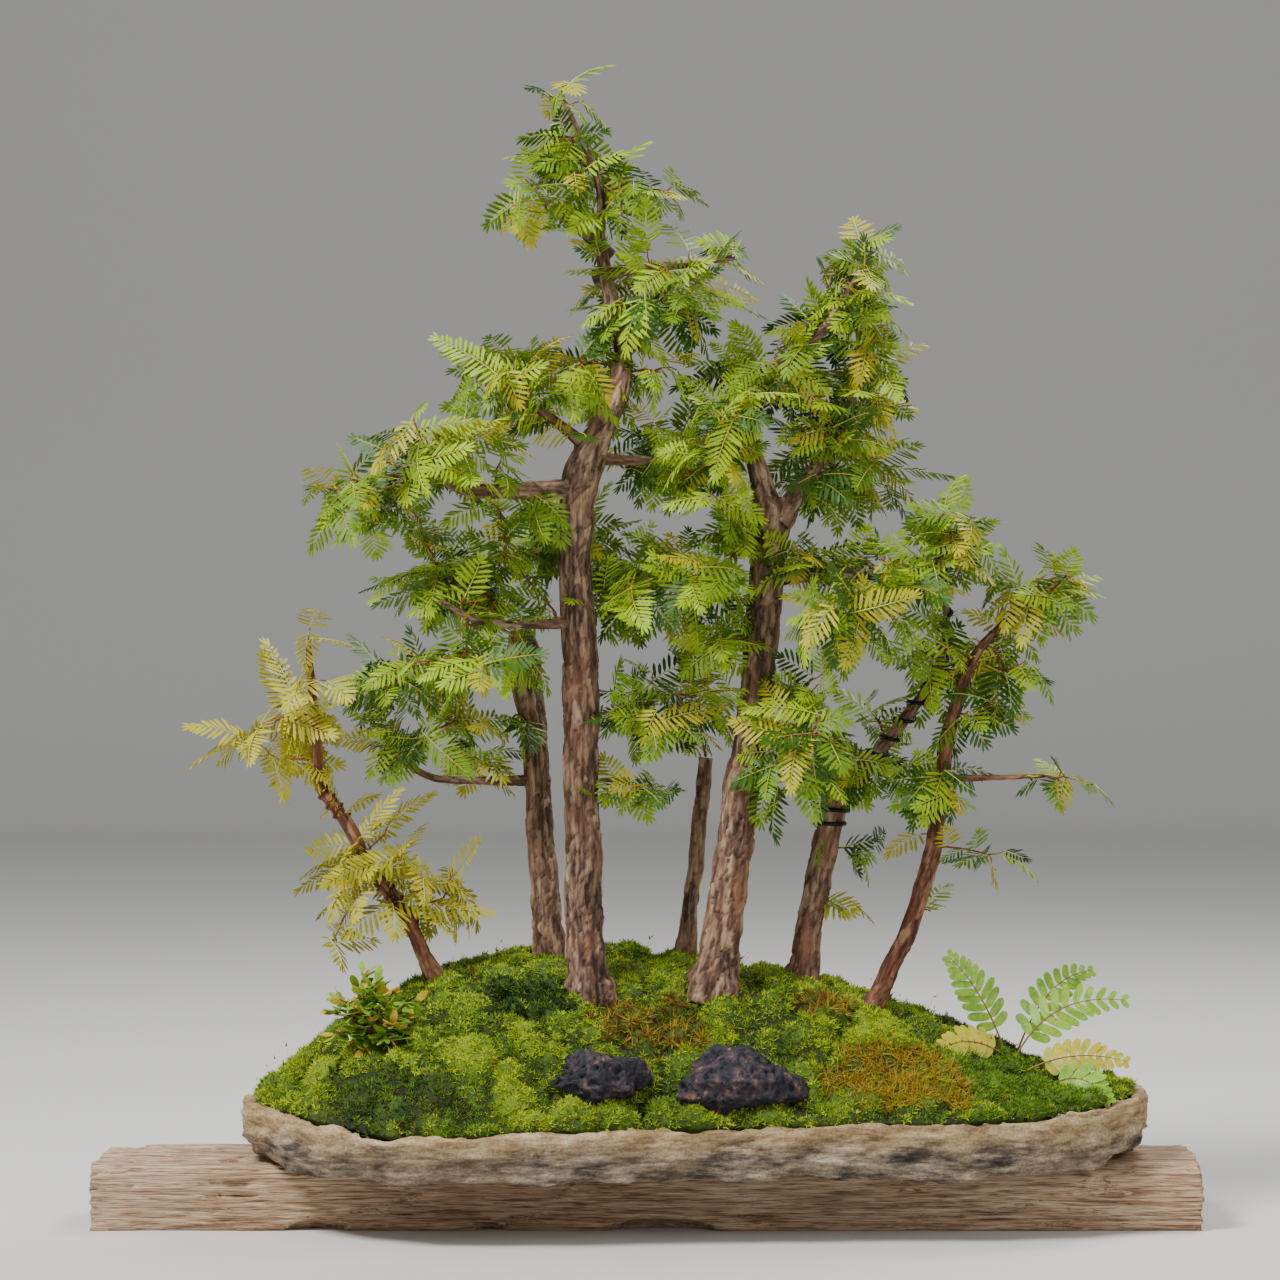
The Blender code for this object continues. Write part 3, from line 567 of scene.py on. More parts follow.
def bark_limb(name, stations):
    """A trunk or bough with its plates, flutes, root flare and worn places."""
    trunk = name.startswith("trunk")
    first, second = (np.array(s, dtype=float) for s in stations[:2])
    sunk = TRUNK_SUNK if trunk else BOUGH_SUNK
    before = first - (second - first) * (sunk / np.linalg.norm(second[:3] - first[:3]))
    before[3] = first[3]
    points, radii, reach = smooth_line((tuple(before), *stations), BARK_RING_STEP)
    reach = reach - sunk
    points = wandering(name, points, radii, reach)
    sides = int(max(12, min(64, math.tau * radii.max() / BARK_SIDE_STEP)))
    seed = sum(map(ord, name)) % 97
    angle = np.arange(sides) * math.tau / sides
    girth, furrow, plate = (np.zeros((len(points), sides)) for _ in range(3))
    bark = np.zeros((len(points), sides, 3))
    lobes = 3 + seed % 3
    for i, (r, s) in enumerate(zip(radii, reach)):
        turn = s / FLUTE_TURN
        flute = 0.05 * np.sin(2 * angle + turn + seed) + 0.045 * np.sin(3 * angle - 1.4 * turn)
        if trunk:
            flare = ROOT_FLARE * math.exp(-max(s, 0) / ROOT_FLARE_HEIGHT)
            flute = flute + flare * (0.5 + np.cos(lobes * angle + seed))
        else:
            flute = flute + BOUGH_COLLAR * math.exp(-max(s, 0) / (1.4 * stations[0][3]))
        for k, a in enumerate(angle):
            x, y = math.cos(a) * r, math.sin(a) * r
            drift = noise.noise(Vector((x / 7, y / 7 + seed, s / 9)))
            across, deep = x / PLATE_WIDTH + seed, y / PLATE_WIDTH + drift * 0.9
            gaps, cells = noise.voronoi(Vector((across, deep, s / PLATE_LENGTH + drift * 0.7)))
            border = min(1.0, (gaps[1] - gaps[0]) / CRACK_SHARE)
            flake = noise.cell(cells[0] * 7.1)
            knob = noise.noise(Vector((x / 9, y / 9 + seed, s / 14)))
            relief = min(PLATE_DEPTH, PLATE_DEEPEST / r) * (border + 0.6 * flake - 0.9)
            girth[i, k] = r * (1 + flute[k] + relief + 0.12 * knob)
            furrow[i, k] = 1 - border
            plate[i, k] = flake
            bark[i, k] = (x, y + seed * 50, s)
    places, faces = tube(points, girth, sides)
    along = np.vstack((bark.reshape(-1, 3), bark[0, 0], bark[-1, 0]))
    marks = {"peeled": np.zeros(len(places)), "cut": np.zeros(len(places))}
    for kind, amount in (("furrow", furrow), ("plate", plate)):
        marks[kind] = np.concatenate((amount.ravel(), (0, 0)))
    for x, z, half_x, half_z, kind in WORN.get(name, ()):
        gap = np.hypot((places[:, 0] - x) / half_x, (places[:, 2] - z) / half_z)
        facing = places[:, 1] < np.interp(places[:, 2], points[:, 2], points[:, 1]) + 2
        rough = np.array([noise.noise(Vector(p / 3.0)) for p in places])
        marks[kind] = np.maximum(marks[kind], np.clip(1.7 - 2.2 * gap + 1.2 * rough, 0, 1) * facing)
    if trunk and radii[-1] > 3:
        marks["cut"][np.linalg.norm(places - points[-1], axis=1) < radii[-1] * 0.85] = 0.9
    return places * MM, faces, along * MM, marks


def make_limbs():
    """Every trunk and bough, with a finish by the age of its bark."""
    old = bark_finish("old_redwood_bark", "3b2b23", "8d6c55", "c2a384", "955f45")
    young = bark_finish("young_redwood_bark", "3f231a", "7d4c34", "b08663", "8f4a2b")
    for name, stations in LIMBS.items():
        places, faces, along, marks = bark_limb(name, stations)
        mesh = mesh_from(name, [(places, faces)])
        layer = mesh.attributes.new("bark", "FLOAT_VECTOR", "POINT")
        layer.data.foreach_set("vector", along.astype(np.float32).ravel())
        for kind, amount in marks.items():
            layer = mesh.attributes.new(kind, "FLOAT", "POINT")
            layer.data.foreach_set("value", amount.astype(np.float32))
        slim = "far_left" in name or "far_right" in name
        piece("bark_" + name, mesh, young if slim else old, (name,), smooth=True)


def needle(base, along, across, length, width):
    """A flat blunt needle with a keel: twelve faces, bent a little downward."""
    out = np.cross(along, across)
    places = [base]
    for share, broad in ((0.22, 0.9), (0.72, 1.0)):
        middle = base + along * length * share - out * length * 0.10 * share**2
        half = across * width * broad / 2
        places += [middle + half, middle - half, middle - out * width * 0.22]
    places.append(base + along * length - out * length * 0.10)
    faces = [(0, 2, 1), (0, 3, 2), (0, 1, 3), (7, 4, 5), (7, 5, 6), (7, 6, 4)]
    for i in range(3):
        j = (i + 1) % 3
        faces += [(1 + i, 1 + j, 4 + j), (1 + i, 4 + j, 4 + i)]
    return np.array(places), faces


def spray_shapes():
    """Flat feathers of needles along an arching stem, lying along X with Y across, one for each length."""
    needles, stems = [], []
    for number, length in enumerate(SPRAY_LENGTHS):
        count = int(length / NEEDLE_SPACING)
        droop = math.radians(10 + 8 * (number * 2 % 5))
        share = np.linspace(0, 1, 9)
        pitch = droop * share**1.3
        steps = np.stack((np.cos(pitch), 0.08 * np.sin(3 * share + number), -np.sin(pitch)), 1) * length / 8
        line = np.vstack(((0, 0, 0), np.cumsum(steps[:-1], axis=0)))
        parts = []
        for i in range(count + 1):
            t = (i + 0.6) / (count + 1)
            base = np.array([np.interp(t, share, line[:, k]) for k in range(3)])
            here = np.interp(t, share, pitch)
            ahead = np.array((math.cos(here), 0, -math.sin(here)))
            above = np.array((math.sin(here), 0, math.cos(here)))
            swell = 0.62 + 0.38 * math.sin(math.pi * min(1, 0.15 + t * 0.85))
            full = NEEDLE_LENGTH * swell * (1 - 0.35 * t**4)
            for side in (-1, 1):
                lean = math.radians(72 - 28 * t + rng.uniform(-6, 6))
                out = np.array((0, side, 0)) * math.cos(0.2) - above * math.sin(rng.uniform(-0.1, 0.35))
                way = unit(ahead * math.cos(lean) + out * math.sin(lean))
                across = unit(np.cross(above, way)) + above * rng.uniform(-0.25, 0.25)
                shift = ahead * side * NEEDLE_SPACING * 0.2
                grown = full * rng.uniform(0.86, 1.1)
                parts.append(needle(base + shift, way, unit(across), grown, NEEDLE_WIDTH))
        end = line[-1]
        ahead = unit(line[-1] - line[-2])
        for side in (-1, 0, 1):
            way = unit(ahead + np.array((0, side * 0.45, 0)))
            across = unit(np.cross((0, 0, 1), way))
            parts.append(needle(end, way, across, NEEDLE_LENGTH * 0.62, NEEDLE_WIDTH * 0.85))
        needles.append([(p * MM, f) for p, f in parts])
        places, faces = tube(line, np.linspace(0.42, 0.22, len(line)), 4)
        stems.append([(places * MM, faces)])
    return needles, stems


def shape_collection(name, shapes):
    """Shapes for a scatter to choose from, in the order of their names."""
    group = bpy.data.collections.new(name)
    bpy.context.scene.collection.children.link(group)
    for number, parts in enumerate(shapes):
        shape = bpy.data.objects.new(f"{name}_{number:02d}", mesh_from(name, parts))
        group.objects.link(shape)
    return group


def drop_collection(group):
    """Takes the shapes away once their scatters are plain meshes."""
    for shape in list(group.objects):
        bpy.data.objects.remove(shape)
    bpy.data.collections.remove(group)


def scatter_tree():
    """Geometry Nodes: one of a collection's shapes at each point, turned and sized by the point's values."""
    tree = bpy.data.node_groups.new("scatter_shapes", "GeometryNodeTree")
    kinds = {"Places": "Geometry", "Shapes": "Collection", "Least Size": "Float", "Greatest Size": "Float",
             "Seed": "Int", "Finish": "Material"}
    sockets = {
        name: tree.interface.new_socket(name=name, in_out="INPUT", socket_type="NodeSocket" + kind).identifier
        for name, kind in kinds.items()
    }
    tree.interface.new_socket(name="Geometry", in_out="OUTPUT", socket_type="NodeSocketGeometry")
    given = tree.nodes.new("NodeGroupInput").outputs
    shapes = add(tree, "GeometryNodeCollectionInfo", Collection=given["Shapes"], Separate__Children=True,
                 Reset__Children=True)
    turn, size, shape = (
        add(tree, "GeometryNodeInputNamedAttribute", {"data_type": kind}, Name=key)
        for key, kind in (("turn", "FLOAT_VECTOR"), ("size", "FLOAT"), ("shape", "INT"))
    )
    chance = add(tree, "FunctionNodeRandomValue", {"data_type": "FLOAT"}, Min=given["Least Size"],
                 Max=given["Greatest Size"], Seed=given["Seed"])
    scale = add(tree, MATH, {"operation": "MULTIPLY"}, Value=size, Value_1=chance)
    placed = add(tree, "GeometryNodeInstanceOnPoints", Points=given["Places"], Instance=shapes,
                 Pick__Instance=True, Instance__Index=shape, Rotation=turn, Scale=scale)
    real = add(tree, "GeometryNodeRealizeInstances", Geometry=placed)
    coloured = add(tree, "GeometryNodeSetMaterial", Geometry=real, Material=given["Finish"])
    wire(tree, tree.nodes.new("NodeGroupOutput"), Geometry=coloured)
    return tree, sockets


SCATTER, SOCKETS = scatter_tree()


def scatter(name, group, spots, finish, spread=(0.92, 1.08), seed=1):
    """The mesh of shapes at spots of (place, turn, size, shape)."""
    mesh = bpy.data.meshes.new(name)
    mesh.from_pydata([s[0] for s in spots], [], [])
    for key, kind, field, column in (
        ("turn", "FLOAT_VECTOR", "vector", 1), ("size", "FLOAT", "value", 2), ("shape", "INT", "value", 3)
    ):
        layer = mesh.attributes.new(key, kind, "POINT")
        layer.data.foreach_set(field, np.array([s[column] for s in spots]).ravel())
    thing = bpy.data.objects.new(name + "_places", mesh)
    bpy.context.scene.collection.objects.link(thing)
    modifier = thing.modifiers.new("scatter", "NODES")
    modifier.node_group = SCATTER
    for key, value in (("Shapes", group), ("Least Size", spread[0]), ("Greatest Size", spread[1]),
                       ("Seed", seed), ("Finish", finish)):
        modifier[SOCKETS[key]] = value
    graph = bpy.context.evaluated_depsgraph_get()
    result = bpy.data.meshes.new_from_object(thing.evaluated_get(graph))
    thing.modifiers.remove(modifier)
    bpy.data.objects.remove(thing)
    for layer in list(result.attributes):
        if layer.name in ("turn", "size", "shape"):
            result.attributes.remove(layer)
    return result


def turn_to(along, above):
    """Euler angles that lay a shape's X along one direction with its Z towards another."""
    x = unit(along)
    z = unit(above - x * x.dot(above))
    y = np.cross(z, x)
    return tuple(Matrix(np.stack((x, y, z), 1).tolist()).to_euler())


class Growth:
    """The twigs of one tree as places with parents, which begin as the places of its limbs."""

    def __init__(self, limbs):
        self.places, self.ways, self.paths = [], [], []
        for name in limbs:
            points, _, _ = smooth_line(LIMBS[name], 5)
            self.places += list(points)
            self.ways += list(unit(np.gradient(points, axis=0)))
        self.runs = [0.0] * len(self.places)
        self.parents = [-1] * len(self.places)
        self.wood = len(self.places)

    def reach(self, goal, outward):
        """Grows a twig to a goal from the place that costs least, and notes its path."""
        places = np.array(self.places)
        gap = goal - places
        far = np.linalg.norm(gap, axis=1)
        bend = 1 - np.sum(np.array(self.ways) * unit(gap), axis=1)
        bend[: self.wood] = LIMB_BEND
        fall = np.maximum(0, -gap[:, 2])
        cost = far * (1 + BEND_COST * bend) + RUN_COST * np.array(self.runs) + FALL_COST * fall
        start = int(np.argmin(cost))
        a, reach = places[start], far[start]
        first = unit(unit(gap[start]) * 0.7 + (self.ways[start] * 0.5 if start >= self.wood else UP * 0.35))
        last = unit(outward + UP * 0.15)
        b, c = a + first * reach * 0.36, goal - last * reach * 0.3
        steps = max(2, int(reach / 6))
        swing = rng.normal(0, 0.035 * reach, 3)
        path = []
        before = start
        for k in range(1, steps + 1):
            t = k / steps
            point = a * (1 - t) ** 3 + b * 3 * t * (1 - t) ** 2 + c * 3 * t**2 * (1 - t) + goal * t**3
            point = point + swing * math.sin(math.pi * t) * math.sin(2.2 * math.pi * t)
            self.places.append(point)
            self.ways.append(unit(point - self.places[before]))
            self.runs.append(self.runs[before] + float(np.linalg.norm(point - self.places[before])))
            self.parents.append(before)
            before = len(self.places) - 1
            path.append(before)
        self.paths.append((start, path))

    def twigs(self):
        """Tubes along the paths, thicker the more tips they feed, as (young, old)."""
        load = np.zeros(len(self.places))
        for _, path in self.paths:
            load[path[-1]] += 1
        for i in range(len(self.places) - 1, self.wood - 1, -1):
            load[self.parents[i]] += load[i]
        young, old = [], []
        for start, path in self.paths:
            points = np.array([self.places[i] for i in [start] + path])
            radii = TIP_RADIUS * np.maximum(load[path], 1) ** TIP_POWER
            radii = np.concatenate(([radii[0] * 1.15], radii))
            thick = radii[0] > OLD_TWIG_RADIUS
            places, faces = tube(points, radii, 6 if thick else 4)
            (old if thick else young).append((places * MM, faces))
        return young, old


def foliage_sprays():
    """Grows every tree's twigs into its masses and deals out sprays by tint, as (spots, young, old)."""
    spots = {tint: [] for tint in NEEDLE_TINTS}
    young, old = [], []
    masses = [n for n in frame["nodes"] if n.startswith("foliage_")]
    for group, word in BEARERS.items():
        limbs = [n for n in LIMBS if word in n]
        if group == "foliage_centre":
            limbs += ["trunk_main", "trunk_centre_slim"]
        growth = Growth(limbs)
        goals = []
        for mass in sorted(n for n in masses if n.startswith(group)):
            low, high = (np.array(c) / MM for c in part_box(mass))
            middle, half = (low + high) / 2, (high - low) / 2
            thin = next((share for word, share in THIN_CROWNS.items() if word in mass), 1.0)
            count = max(4, round(thin * TARGETS_PER_SIZE * float(np.prod(half)) ** (2 / 3)))
            for _ in range(count):
                way = unit(rng.normal(size=3) * (1, 1, 0.85))
                share = rng.uniform(0.14, 0.92)
                goals.append((middle + way * half * share, way, share, middle, half))
        goals += extra_goals(limbs)
        nearest = [np.linalg.norm(np.array(growth.places) - g[0], axis=1).min() for g in goals]
        for k in np.argsort(nearest, kind="stable"):
            goal, way, share, middle, half = goals[k]
            outward = unit(way * (1, 1, 0.55) + UP * 0.12 + rng.normal(0, 0.28, 3))
            growth.reach(goal, outward)
            path = [growth.places[i] for i in growth.paths[-1][1]]
            lay_sprays(spots, group, path, growth.places[growth.paths[-1][0]], outward, share, middle, half)
        more = growth.twigs()
        young += more[0]
        old += more[1]
    return spots, young, old


def extra_goals(limbs):
    """The sprigs that no mass holds, and short shoots all along the boughs and slender tops."""
    goals = []
    half = np.array(SPRIG_SIZE, dtype=float)
    for word, sprigs in SPRIGS.items():
        if word in limbs[0] or word in limbs[-1]:
            for x, y, z, count in sprigs:
                middle = np.array((x, y, z), dtype=float)
                for _ in range(count):
                    way = unit(rng.normal(size=3))
                    goals.append((middle + way * half * rng.uniform(0.1, 0.5), way, 0.6, middle, half))
    for limb in limbs:
        points, radii, reach = smooth_line(LIMBS[limb], 2)
        along, u, v = frames(points)
        thickest = 4.6 if limb.startswith("trunk") else 6
        distance = 10.0
        while distance < reach[-1]:
            i = int(np.searchsorted(reach, distance))
            distance += SHOOT_GAP * rng.uniform(0.7, 1.4)
            if i >= len(points) or radii[i] > thickest or points[i, 2] < SHOOTS_FROM:
                continue
            turn = rng.uniform(0, math.tau)
            way = unit(math.cos(turn) * u[i] + math.sin(turn) * v[i] + along[i] * 0.5 + UP * 0.15)
            middle = points[i] + way * (radii[i] + 12)
            goals.append((points[i] + way * (radii[i] + rng.uniform(5, 14)), way, 0.6, middle, half))
    return goals


def tint_odds(group, outer, height):
    """How likely each tint is: the deep tint less likely towards a crown's rim, as painted shade inside it;
    the fresh tint likelier at its rim and top, partly random and partly painted light; golden on the far left
    tree.
    """
    if group == "foliage_far_left":
        return {"gold": 0.40, "straw": 0.30, "yellow": 0.30}
    fresh = 0.26 + 0.22 * outer + 0.1 * height
    yellow = 0.10 + 0.06 * outer + (0.10 if group == "foliage_far_right" else 0)
    return {"fresh": fresh, "mid": 0.34, "deep": 0.34 - 0.26 * outer, "yellow": yellow}


def lay_sprays(spots, group, path, start, outward, share, middle, half):
    """A spray at a twig's tip and others on each side behind it, none much longer than its mass allows."""
    line = np.array([start] + path)
    back = np.concatenate(([0], np.cumsum(np.linalg.norm(np.diff(line[::-1], axis=0), axis=1))))
    away = np.array((*(line[-1] - middle)[:2] + rng.normal(0, 8, 2), 0.0))
    stations = [(0.0, 0)] + [(d, 1 if k % 2 else -1) for k, d in enumerate(SPRAY_STATIONS) if d < back[-1]]
    if share < 0.3:
        stations = stations[:3]
    spare, chance_of_longest = (12, 0.85) if group == "foliage_far_left" else (8, 0.40)
    for distance, side in stations:
        place = np.array([np.interp(distance, back, line[::-1][:, k]) for k in range(3)])
        above = unit(UP * 0.70 + unit(away) * 0.60 + rng.normal(0, 0.34, 3))
        way = outward + rng.normal(0, 0.12, 3)
        if side:
            across = unit(np.cross(above, outward))
            way = outward * 0.55 + across * side * 0.9 + rng.normal(0, 0.15, 3)
        way = unit(way - above * way.dot(above) - UP * 0.06)
        q = (place - middle) / half
        d = way / half
        a, b, c = d.dot(d), 2 * q.dot(d), q.dot(q) - 1.0
        room = (-b + math.sqrt(max(b * b - 4 * a * c, 0.0))) / (2 * a) if c < 0 else 12.0
        fits = [i for i, length in enumerate(SPRAY_LENGTHS) if length < room * 1.05 + spare] or [0]
        longest = rng.random() < chance_of_longest
        shape = fits[-1] if longest else fits[int(rng.integers(len(fits)))]
        size = rng.uniform(0.9, 1.08) if room > 16 else 0.82
        # Painted shade and light: the odds of each tint follow how far out and how high the spray sits in its
        # crown
        odds = tint_odds(group, min(1.0, math.sqrt(q.dot(q))), (place[2] - 300) / 400)
        weights = np.maximum(list(odds.values()), 0.01)
        tint = list(odds)[int(rng.choice(len(odds), p=weights / weights.sum()))]
        spots[tint].append((tuple(place * MM), turn_to(way, above), size, shape))


def make_foliage():
    """Needles by tint, their stems, and the twigs that bear them."""
    needle_shapes, stem_shapes = spray_shapes()
    needles = shape_collection("needle_shape", needle_shapes)
    stems = shape_collection("stem_shape", stem_shapes)
    spots, young, old = foliage_sprays()
    masses = sorted(n for n in frame["nodes"] if n.startswith("foliage_"))
    golden = [n for n in masses if "far_left" in n]
    green = [n for n in masses if n not in golden]
    for tint, colour in NEEDLE_TINTS.items():
        finish = plain_finish("needles_" + tint, colour, 0.5, 0.28)
        mesh = scatter("needles_" + tint, needles, spots[tint], finish, seed=3)
        slot, nodes = ("foliage_gold", golden) if tint in ("gold", "straw") else ("foliage", green)
        piece("needles_" + tint, mesh, finish, nodes)
    every = [s for tint in spots for s in spots[tint]]
    stem = plain_finish("spray_stem_green", "b9b848", 0.5)
    piece("spray_stems", scatter("spray_stems", stems, every, stem, seed=3), stem)
    shoot = mottled_finish("red_brown_shoots", ((0.3, "7c3218"), (0.6, "b0522a")), 6, 0.55, 0.1)
    wood = mottled_finish("brown_twigs", ((0.3, "4f3526"), (0.5, "7d5a42"), (0.7, "9c7a5c")), 5, 0.75, 0.3)
    piece("twigs_young", mesh_from("twigs_young", young), shoot, smooth=True)
    piece("twigs_old", mesh_from("twigs_old", old), wood, smooth=True)
    drop_collection(needles)
    drop_collection(stems)


def refined(node, voxel_mm):
    """A fine even mesh of a solid."""
    source = frame["nodes"][node]
    copy = bpy.data.objects.new(node + "_fine", source.data.copy())
    bpy.context.scene.collection.objects.link(copy)
    weld = copy.modifiers.new("weld", "WELD")
    weld.merge_threshold = 0.01 * MM
    remesh = copy.modifiers.new("even", "REMESH")
    remesh.mode = "VOXEL"
    remesh.voxel_size = voxel_mm * MM
    split = copy.modifiers.new("split", "TRIANGULATE")
    split.quad_method = "FIXED"
    mesh = bpy.data.meshes.new_from_object(copy.evaluated_get(bpy.context.evaluated_depsgraph_get()))
    bpy.data.objects.remove(copy)
    return mesh


def displaced(node, voxel_mm, rule, soften=2):
    """The refined solid, softened, with each place moved along its normal by a rule in millimetres."""
    mesh = refined(node, voxel_mm)
    places = np.empty(len(mesh.vertices) * 3)
    mesh.vertices.foreach_get("co", places)
    places = places.reshape(-1, 3)
    edges = np.empty(len(mesh.edges) * 2, dtype=np.int64)
    mesh.edges.foreach_get("vertices", edges)
    edges = edges.reshape(-1, 2)
    degree = np.bincount(edges.ravel(), minlength=len(places))[:, None]
    for _ in range(soften):
        total = np.zeros_like(places)
        np.add.at(total, edges[:, 0], places[edges[:, 1]])
        np.add.at(total, edges[:, 1], places[edges[:, 0]])
        places = places * 0.45 + total / degree * 0.55
    mesh.vertices.foreach_set("co", places.ravel())
    mesh.update()
    normals = np.array([v.normal[:] for v in mesh.vertices])
    moved = [rule(p / MM, n) for p, n in zip(places, normals)]
    places = places + np.array([n * m * MM if np.isscalar(m) else m * MM for n, m in zip(normals, moved)])
    mesh.vertices.foreach_set("co", places.ravel())
    mesh.update()
    return mesh


def smooth_noise(p, size, offset=0.0, stretch=(1, 1, 1)):
    """Noise from -1 to 1 with features of a size in millimetres."""
    x, y, z = (p[k] / (size * stretch[k]) for k in range(3))
    return noise.noise(Vector((x + offset, y, z)))


def plank_relief(p, n):
    """Raised grain along the plank, deep checks, ragged ends. The underside stays level."""
    if n[2] < -0.7:
        return 0.0
    drift = 3.0 * smooth_noise(p, 60, 11)
    q = (p[0], p[1] + drift, p[2] + drift)
    line = smooth_noise(q, 3.2, 1, (16, 1, 1))
    band = smooth_noise(q, 11.0, 2, (7, 1, 1))
    check = max(0.0, 0.12 - abs(smooth_noise(q, 8.0, 9, (11, 1, 1)))) / 0.12
    check *= max(0.0, min(1.0, 0.5 + 2.5 * smooth_noise(p, 40, 13)))
    depth = 1.1 * line + 1.6 * band - 3.2 * check
    if abs(n[0]) > 0.5:
        depth += 3.6 * smooth_noise(p, 8, 4, (1, 1.6, 0.6)) - 1.6
    if p[2] < 6:
        depth += 1.8 * min(0.0, smooth_noise(p, 16, 7, (1.5, 1, 1)))
    return depth * min(1.0, p[2] / 2.0)


def rock_relief(p, n):
    """Broken rock: ledges and hollows down the wall, a nibbled lip."""
    ledge = smooth_noise(p, 20, 3, (1.5, 1.5, 0.45))
    fold = smooth_noise(p, 34, 5)
    chip = abs(smooth_noise(p, 9, 6, (1.6, 1.6, 0.6)))
    pit = abs(smooth_noise(p, 4.2, 8))
    shelf = abs(smooth_noise(p, 13, 12, (2.4, 2.4, 0.4)))
    return 3.0 * ledge + 2.0 * fold - 2.6 * chip + 0.9 - 1.4 * pit - 2.2 * max(0.0, 0.35 - shelf) / 0.35


def lava_relief(p, n):
    """Porous lava: rounded pits of a few sizes on a lumpy stone."""
    depth = 2.4 * smooth_noise(p, 15, 2)
    for size, deep in ((7.5, 3.8), (4.0, 2.3), (2.3, 0.9)):
        gaps, _ = noise.voronoi(Vector(p / size))
        depth -= deep * max(0.0, 1 - gaps[0] / 0.42) ** 0.7
    return depth


def moss_rise(p, n):
    """Cushions of moss: small domes with creases between them, on the upper side only."""
    if n[2] < 0.1:
        return 0.0
    return np.array((0.0, 0.0, cushion(p[0], p[1]))) + n * 0.8 * smooth_noise(p, 7, 5)


def cushion(x, y):
    """Height of the moss cushions at a place: broad domes with smaller ones on them."""
    wide, lift = CUSHIONS.get(patch_kind(x, y), OTHER_CUSHIONS)
    height = 0.0
    for size, share in ((wide, 1.0), (wide * 0.42, 0.35)):
        gaps, _ = noise.voronoi(Vector((x / size, y / size, 0.3)))
        height += share * (math.sqrt(max(0.0, 1 - (gaps[0] / 0.62) ** 2)) - 0.45)
    return lift * height


def patch_kind(x, y):
    """The kind of moss at a place, in patches with wandering rims."""
    nearest, kind = 1.0, "mixed"
    broad, fine = noise.noise(Vector((x / 15, y / 15, 2.0))), noise.noise(Vector((x / 5, y / 5, 6.0)))
    wander = 0.55 * broad + 0.25 * fine
    for px, py, half_x, half_y, name in MOSS_PATCHES:
        gap = math.hypot((x - px) / half_x, (y - py) / half_y) + wander
        if gap < nearest:
            nearest, kind = gap, name
    return kind


def leaflet(base, way, length, width):
    """A closed sliver: three places round its foot and a tip."""
    side = unit(np.cross(way, (0.31, 0.2, 0.93)))
    out = np.cross(side, way)
    half = side * width / 2
    places = [base + half, base - half, base + out * width * 0.35, base + way * length]
    return np.array(places) * MM, [(0, 1, 3), (1, 2, 3), (2, 0, 3), (0, 2, 1)]


def tuft(leaves, length, width, lean, seed):
    """A moss shoot: leaves leaning out all round."""
    chance = np.random.default_rng(seed)
    parts = []
    for k in range(leaves):
        turn = math.tau * k / leaves + chance.uniform(-0.3, 0.3)
        tilt = math.radians(lean) * chance.uniform(0.6, 1.15) * (0.35 if k == 0 else 1)
        way = np.array((math.cos(turn) * math.sin(tilt), math.sin(turn) * math.sin(tilt), math.cos(tilt)))
        base = np.array((math.cos(turn), math.sin(turn), 0)) * width * 0.3 - UP * 0.6
        parts.append(leaflet(base, way, length * chance.uniform(0.8, 1.2), width))
    return parts


def moss_spots(mesh):
    """Where each kind of moss has its shoots on the cushions, and where spore stalks stand."""
    corners = np.array([[mesh.vertices[i].co[:] for i in f.vertices] for f in mesh.polygons])
    edges = corners[:, 1:] - corners[:, :1]
    cross = np.cross(edges[:, 0], edges[:, 1])
    area = np.linalg.norm(cross, axis=1) / 2
    lean = cross[:, 2] / np.maximum(2 * area, 1e-12)
    weight = area * (lean > -0.05) * (corners[:, 0, 2] > 66 * MM)
    spots = {kind: [] for kind in MOSS_KINDS}
    stalks = []
    for face in rng.choice(len(area), size=MOSS_TUFTS, p=weight / weight.sum()):
        a, b = rng.random(2)
        if a + b > 1:
            a, b = 1 - a, 1 - b
        p = corners[face, 0] + a * edges[face, 0] + b * edges[face, 1]
        kind = patch_kind(p[0] / MM, p[1] / MM)
        # Painted shade: in a crease most shoots take the darker green or olive kind
        if cushion(p[0] / MM, p[1] / MM) < CREASE_SHADE_BELOW and kind != "gold" and rng.random() < 0.65:
            kind = "green" if rng.random() < 0.45 else "olive"
        elif kind in MINGLED and rng.random() < 0.5:
            kind = MINGLED[kind][int(rng.integers(len(MINGLED[kind])))]
        elif kind == "mixed" or rng.random() < 0.08:
            pick = noise.noise(Vector((p[0] * 40, p[1] * 40, 7.0))) * 0.5 + 0.5 + rng.uniform(-0.2, 0.2)
            kind = MIXED[int(max(0, min(0.999, pick)) * len(MIXED))]
        way = unit(unit(cross[face]) * 0.7 + UP * 0.5 + rng.normal(0, 0.12, 3))
        side = unit(rng.normal(size=3))
        turn = turn_to(unit(np.cross(side, way)), way)
        spots[kind].append((tuple(p), turn, rng.uniform(0.75, 1.3), 0))
        if kind in ("orange", "bright") and rng.random() < 0.02:
            stalks.append((tuple(p), turn, rng.uniform(0.7, 1.2), 0))
    return spots, stalks


